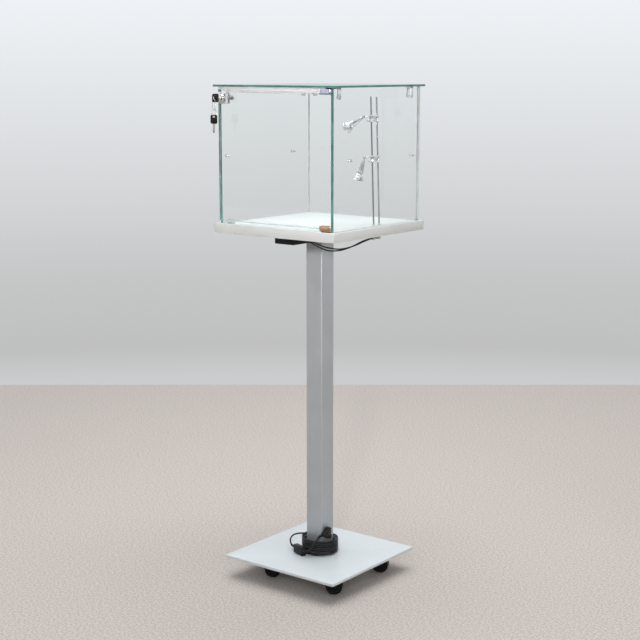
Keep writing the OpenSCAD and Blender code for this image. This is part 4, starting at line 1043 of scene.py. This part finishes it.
def pane_band():
    material, shader, where = new_finish("glass_band")
    links = material.node_tree.links
    streak = noise_at(material, where, 30, detail=2.0)
    links.new(tones(material, streak, (0.66, 0.86, 0.82), (0.80, 0.95, 0.92)), shader.inputs["Base Color"])
    shader.inputs["Roughness"].default_value = 0.08
    shader.inputs["Alpha"].default_value = 0.34
    return material


GLASS = {
    "glass_face": clear_glass("glass_face", (0.982, 0.989, 0.986), (0.986, 0.993, 0.990)),
    "glass_edge": pane_edge("glass_edge", (0.03, 0.16, 0.14), (0.10, 0.38, 0.33)),
    "far_edge": pane_edge("far_glass_edge", (0.66, 0.71, 0.705), (0.80, 0.84, 0.835)),
    "glass_band": pane_band(),
    "lamp_glass": clear_glass("lamp_glass", (0.95, 0.95, 0.95), (0.97, 0.97, 0.97)),
    "capsule": clear_glass("capsule_glass", (0.86, 0.86, 0.86), (0.90, 0.90, 0.90)),
}

# %% [markdown]
# ## The panes
# The sheets are cut, their rims are ground and polished to a small flat arris, and the side
# panes and the door are drilled for the shelf supports and the lock. The copy already has
# the holes, so it only needs the arrises. Near its rim a sheet looks brighter, because the
# light that has run along inside the glass leaves there, so the big faces are cut along the
# rim, and that narrow band gets its own pale green finish.


# %% Chamfer the sheets and mark their rims
RIM_BAND = 3.0


def glass_sheet(node, thin_axis, bands):
    """Slot 0 is the face, slot 1 the edge, slot 2 the band along the edges in bands and
    slot 3 an edge at the back of the case or in a hole, where pale things show through."""
    piece = merged_copy(node, node + "_sheet")
    bevel_sharp(piece, 0.6, sharper_than=60)
    low, high = (corner.copy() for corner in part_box(node))
    for axis, side in bands:
        cut = Vector((0, 0, 0))
        cut[axis] = low[axis] + RIM_BAND * MM if side < 0 else high[axis] - RIM_BAND * MM
        along = Vector((0, 0, 0))
        along[axis] = 1
        pick(piece)
        bpy.ops.object.mode_set(mode="EDIT")
        bpy.ops.mesh.select_all(action="SELECT")
        bpy.ops.mesh.bisect(plane_co=cut, plane_no=along)
        bpy.ops.object.mode_set(mode="OBJECT")
    for glass in ("glass_face", "glass_edge", "glass_band", "far_edge"):
        piece.data.materials.append(GLASS[glass])
    for face in piece.data.polygons:
        flat = abs(face.normal[thin_axis]) > 0.99
        near = any((face.center[axis] - low[axis] if side < 0 else high[axis] - face.center[axis])
                   < RIM_BAND * MM for axis, side in bands)
        hole = all(low[axis] + RIM_BAND * MM < face.center[axis] < high[axis] - RIM_BAND * MM
                   for axis in range(3) if axis != thin_axis)
        far = face.normal.y > 0.9 or node == "pane_back" or hole
        face.material_index = (2 if near else 0) if flat else (3 if far and thin_axis != 2 else 1)
        face.use_smooth = False
    stand_for(piece, node)
    del FINISH_OF[piece.name]
    return piece


glass_sheet("pane_left", 0, [(1, -1)])
glass_sheet("pane_right", 0, [(1, -1)])
glass_sheet("pane_back", 1, [])
glass_sheet("door_glass", 1, [(0, -1), (0, 1), (2, -1)])
glass_sheet("top_glass", 2, [(0, -1), (0, 1), (1, -1), (1, 1)])

# %% [markdown]
# ## Dress the pieces
# Every piece named its finish when it was seated, so now each takes it.

# %% Give each piece its finish
FINISHES.update(GLASS)
for name, finish_name in FINISH_OF.items():
    piece = bpy.data.objects[name]
    piece.data.materials.clear()
    piece.data.materials.append(FINISHES[finish_name])
# The upper clamp's faces take the chrome with the painted cool purple reflection, and the lower clamp keeps the
# painted warm brown reflection.
clamps.data.materials.append(FINISHES["chrome_painted_cool_reflection"])
middle_height = sum(corner.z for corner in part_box("hinge_clamps")) / 2
for face in clamps.data.polygons:
    face.material_index = 1 if face.center.z > middle_height else 0
print("dressed pieces:", len(FINISH_OF))

# %% Floor finish
SPECK_DARK = 0.74
SPECK_LIGHT = 1.26
dark_speck = tuple(part * SPECK_DARK for part in FLOOR_COLOUR)
light_speck = tuple(part * SPECK_LIGHT for part in FLOOR_COLOUR)
floor_paint = finish("speckled_floor", dark_speck, light_speck, (0.6, 0.7),
                     mottle=150, grain=800, depth=0.05)
floor.data.materials.append(floor_paint)
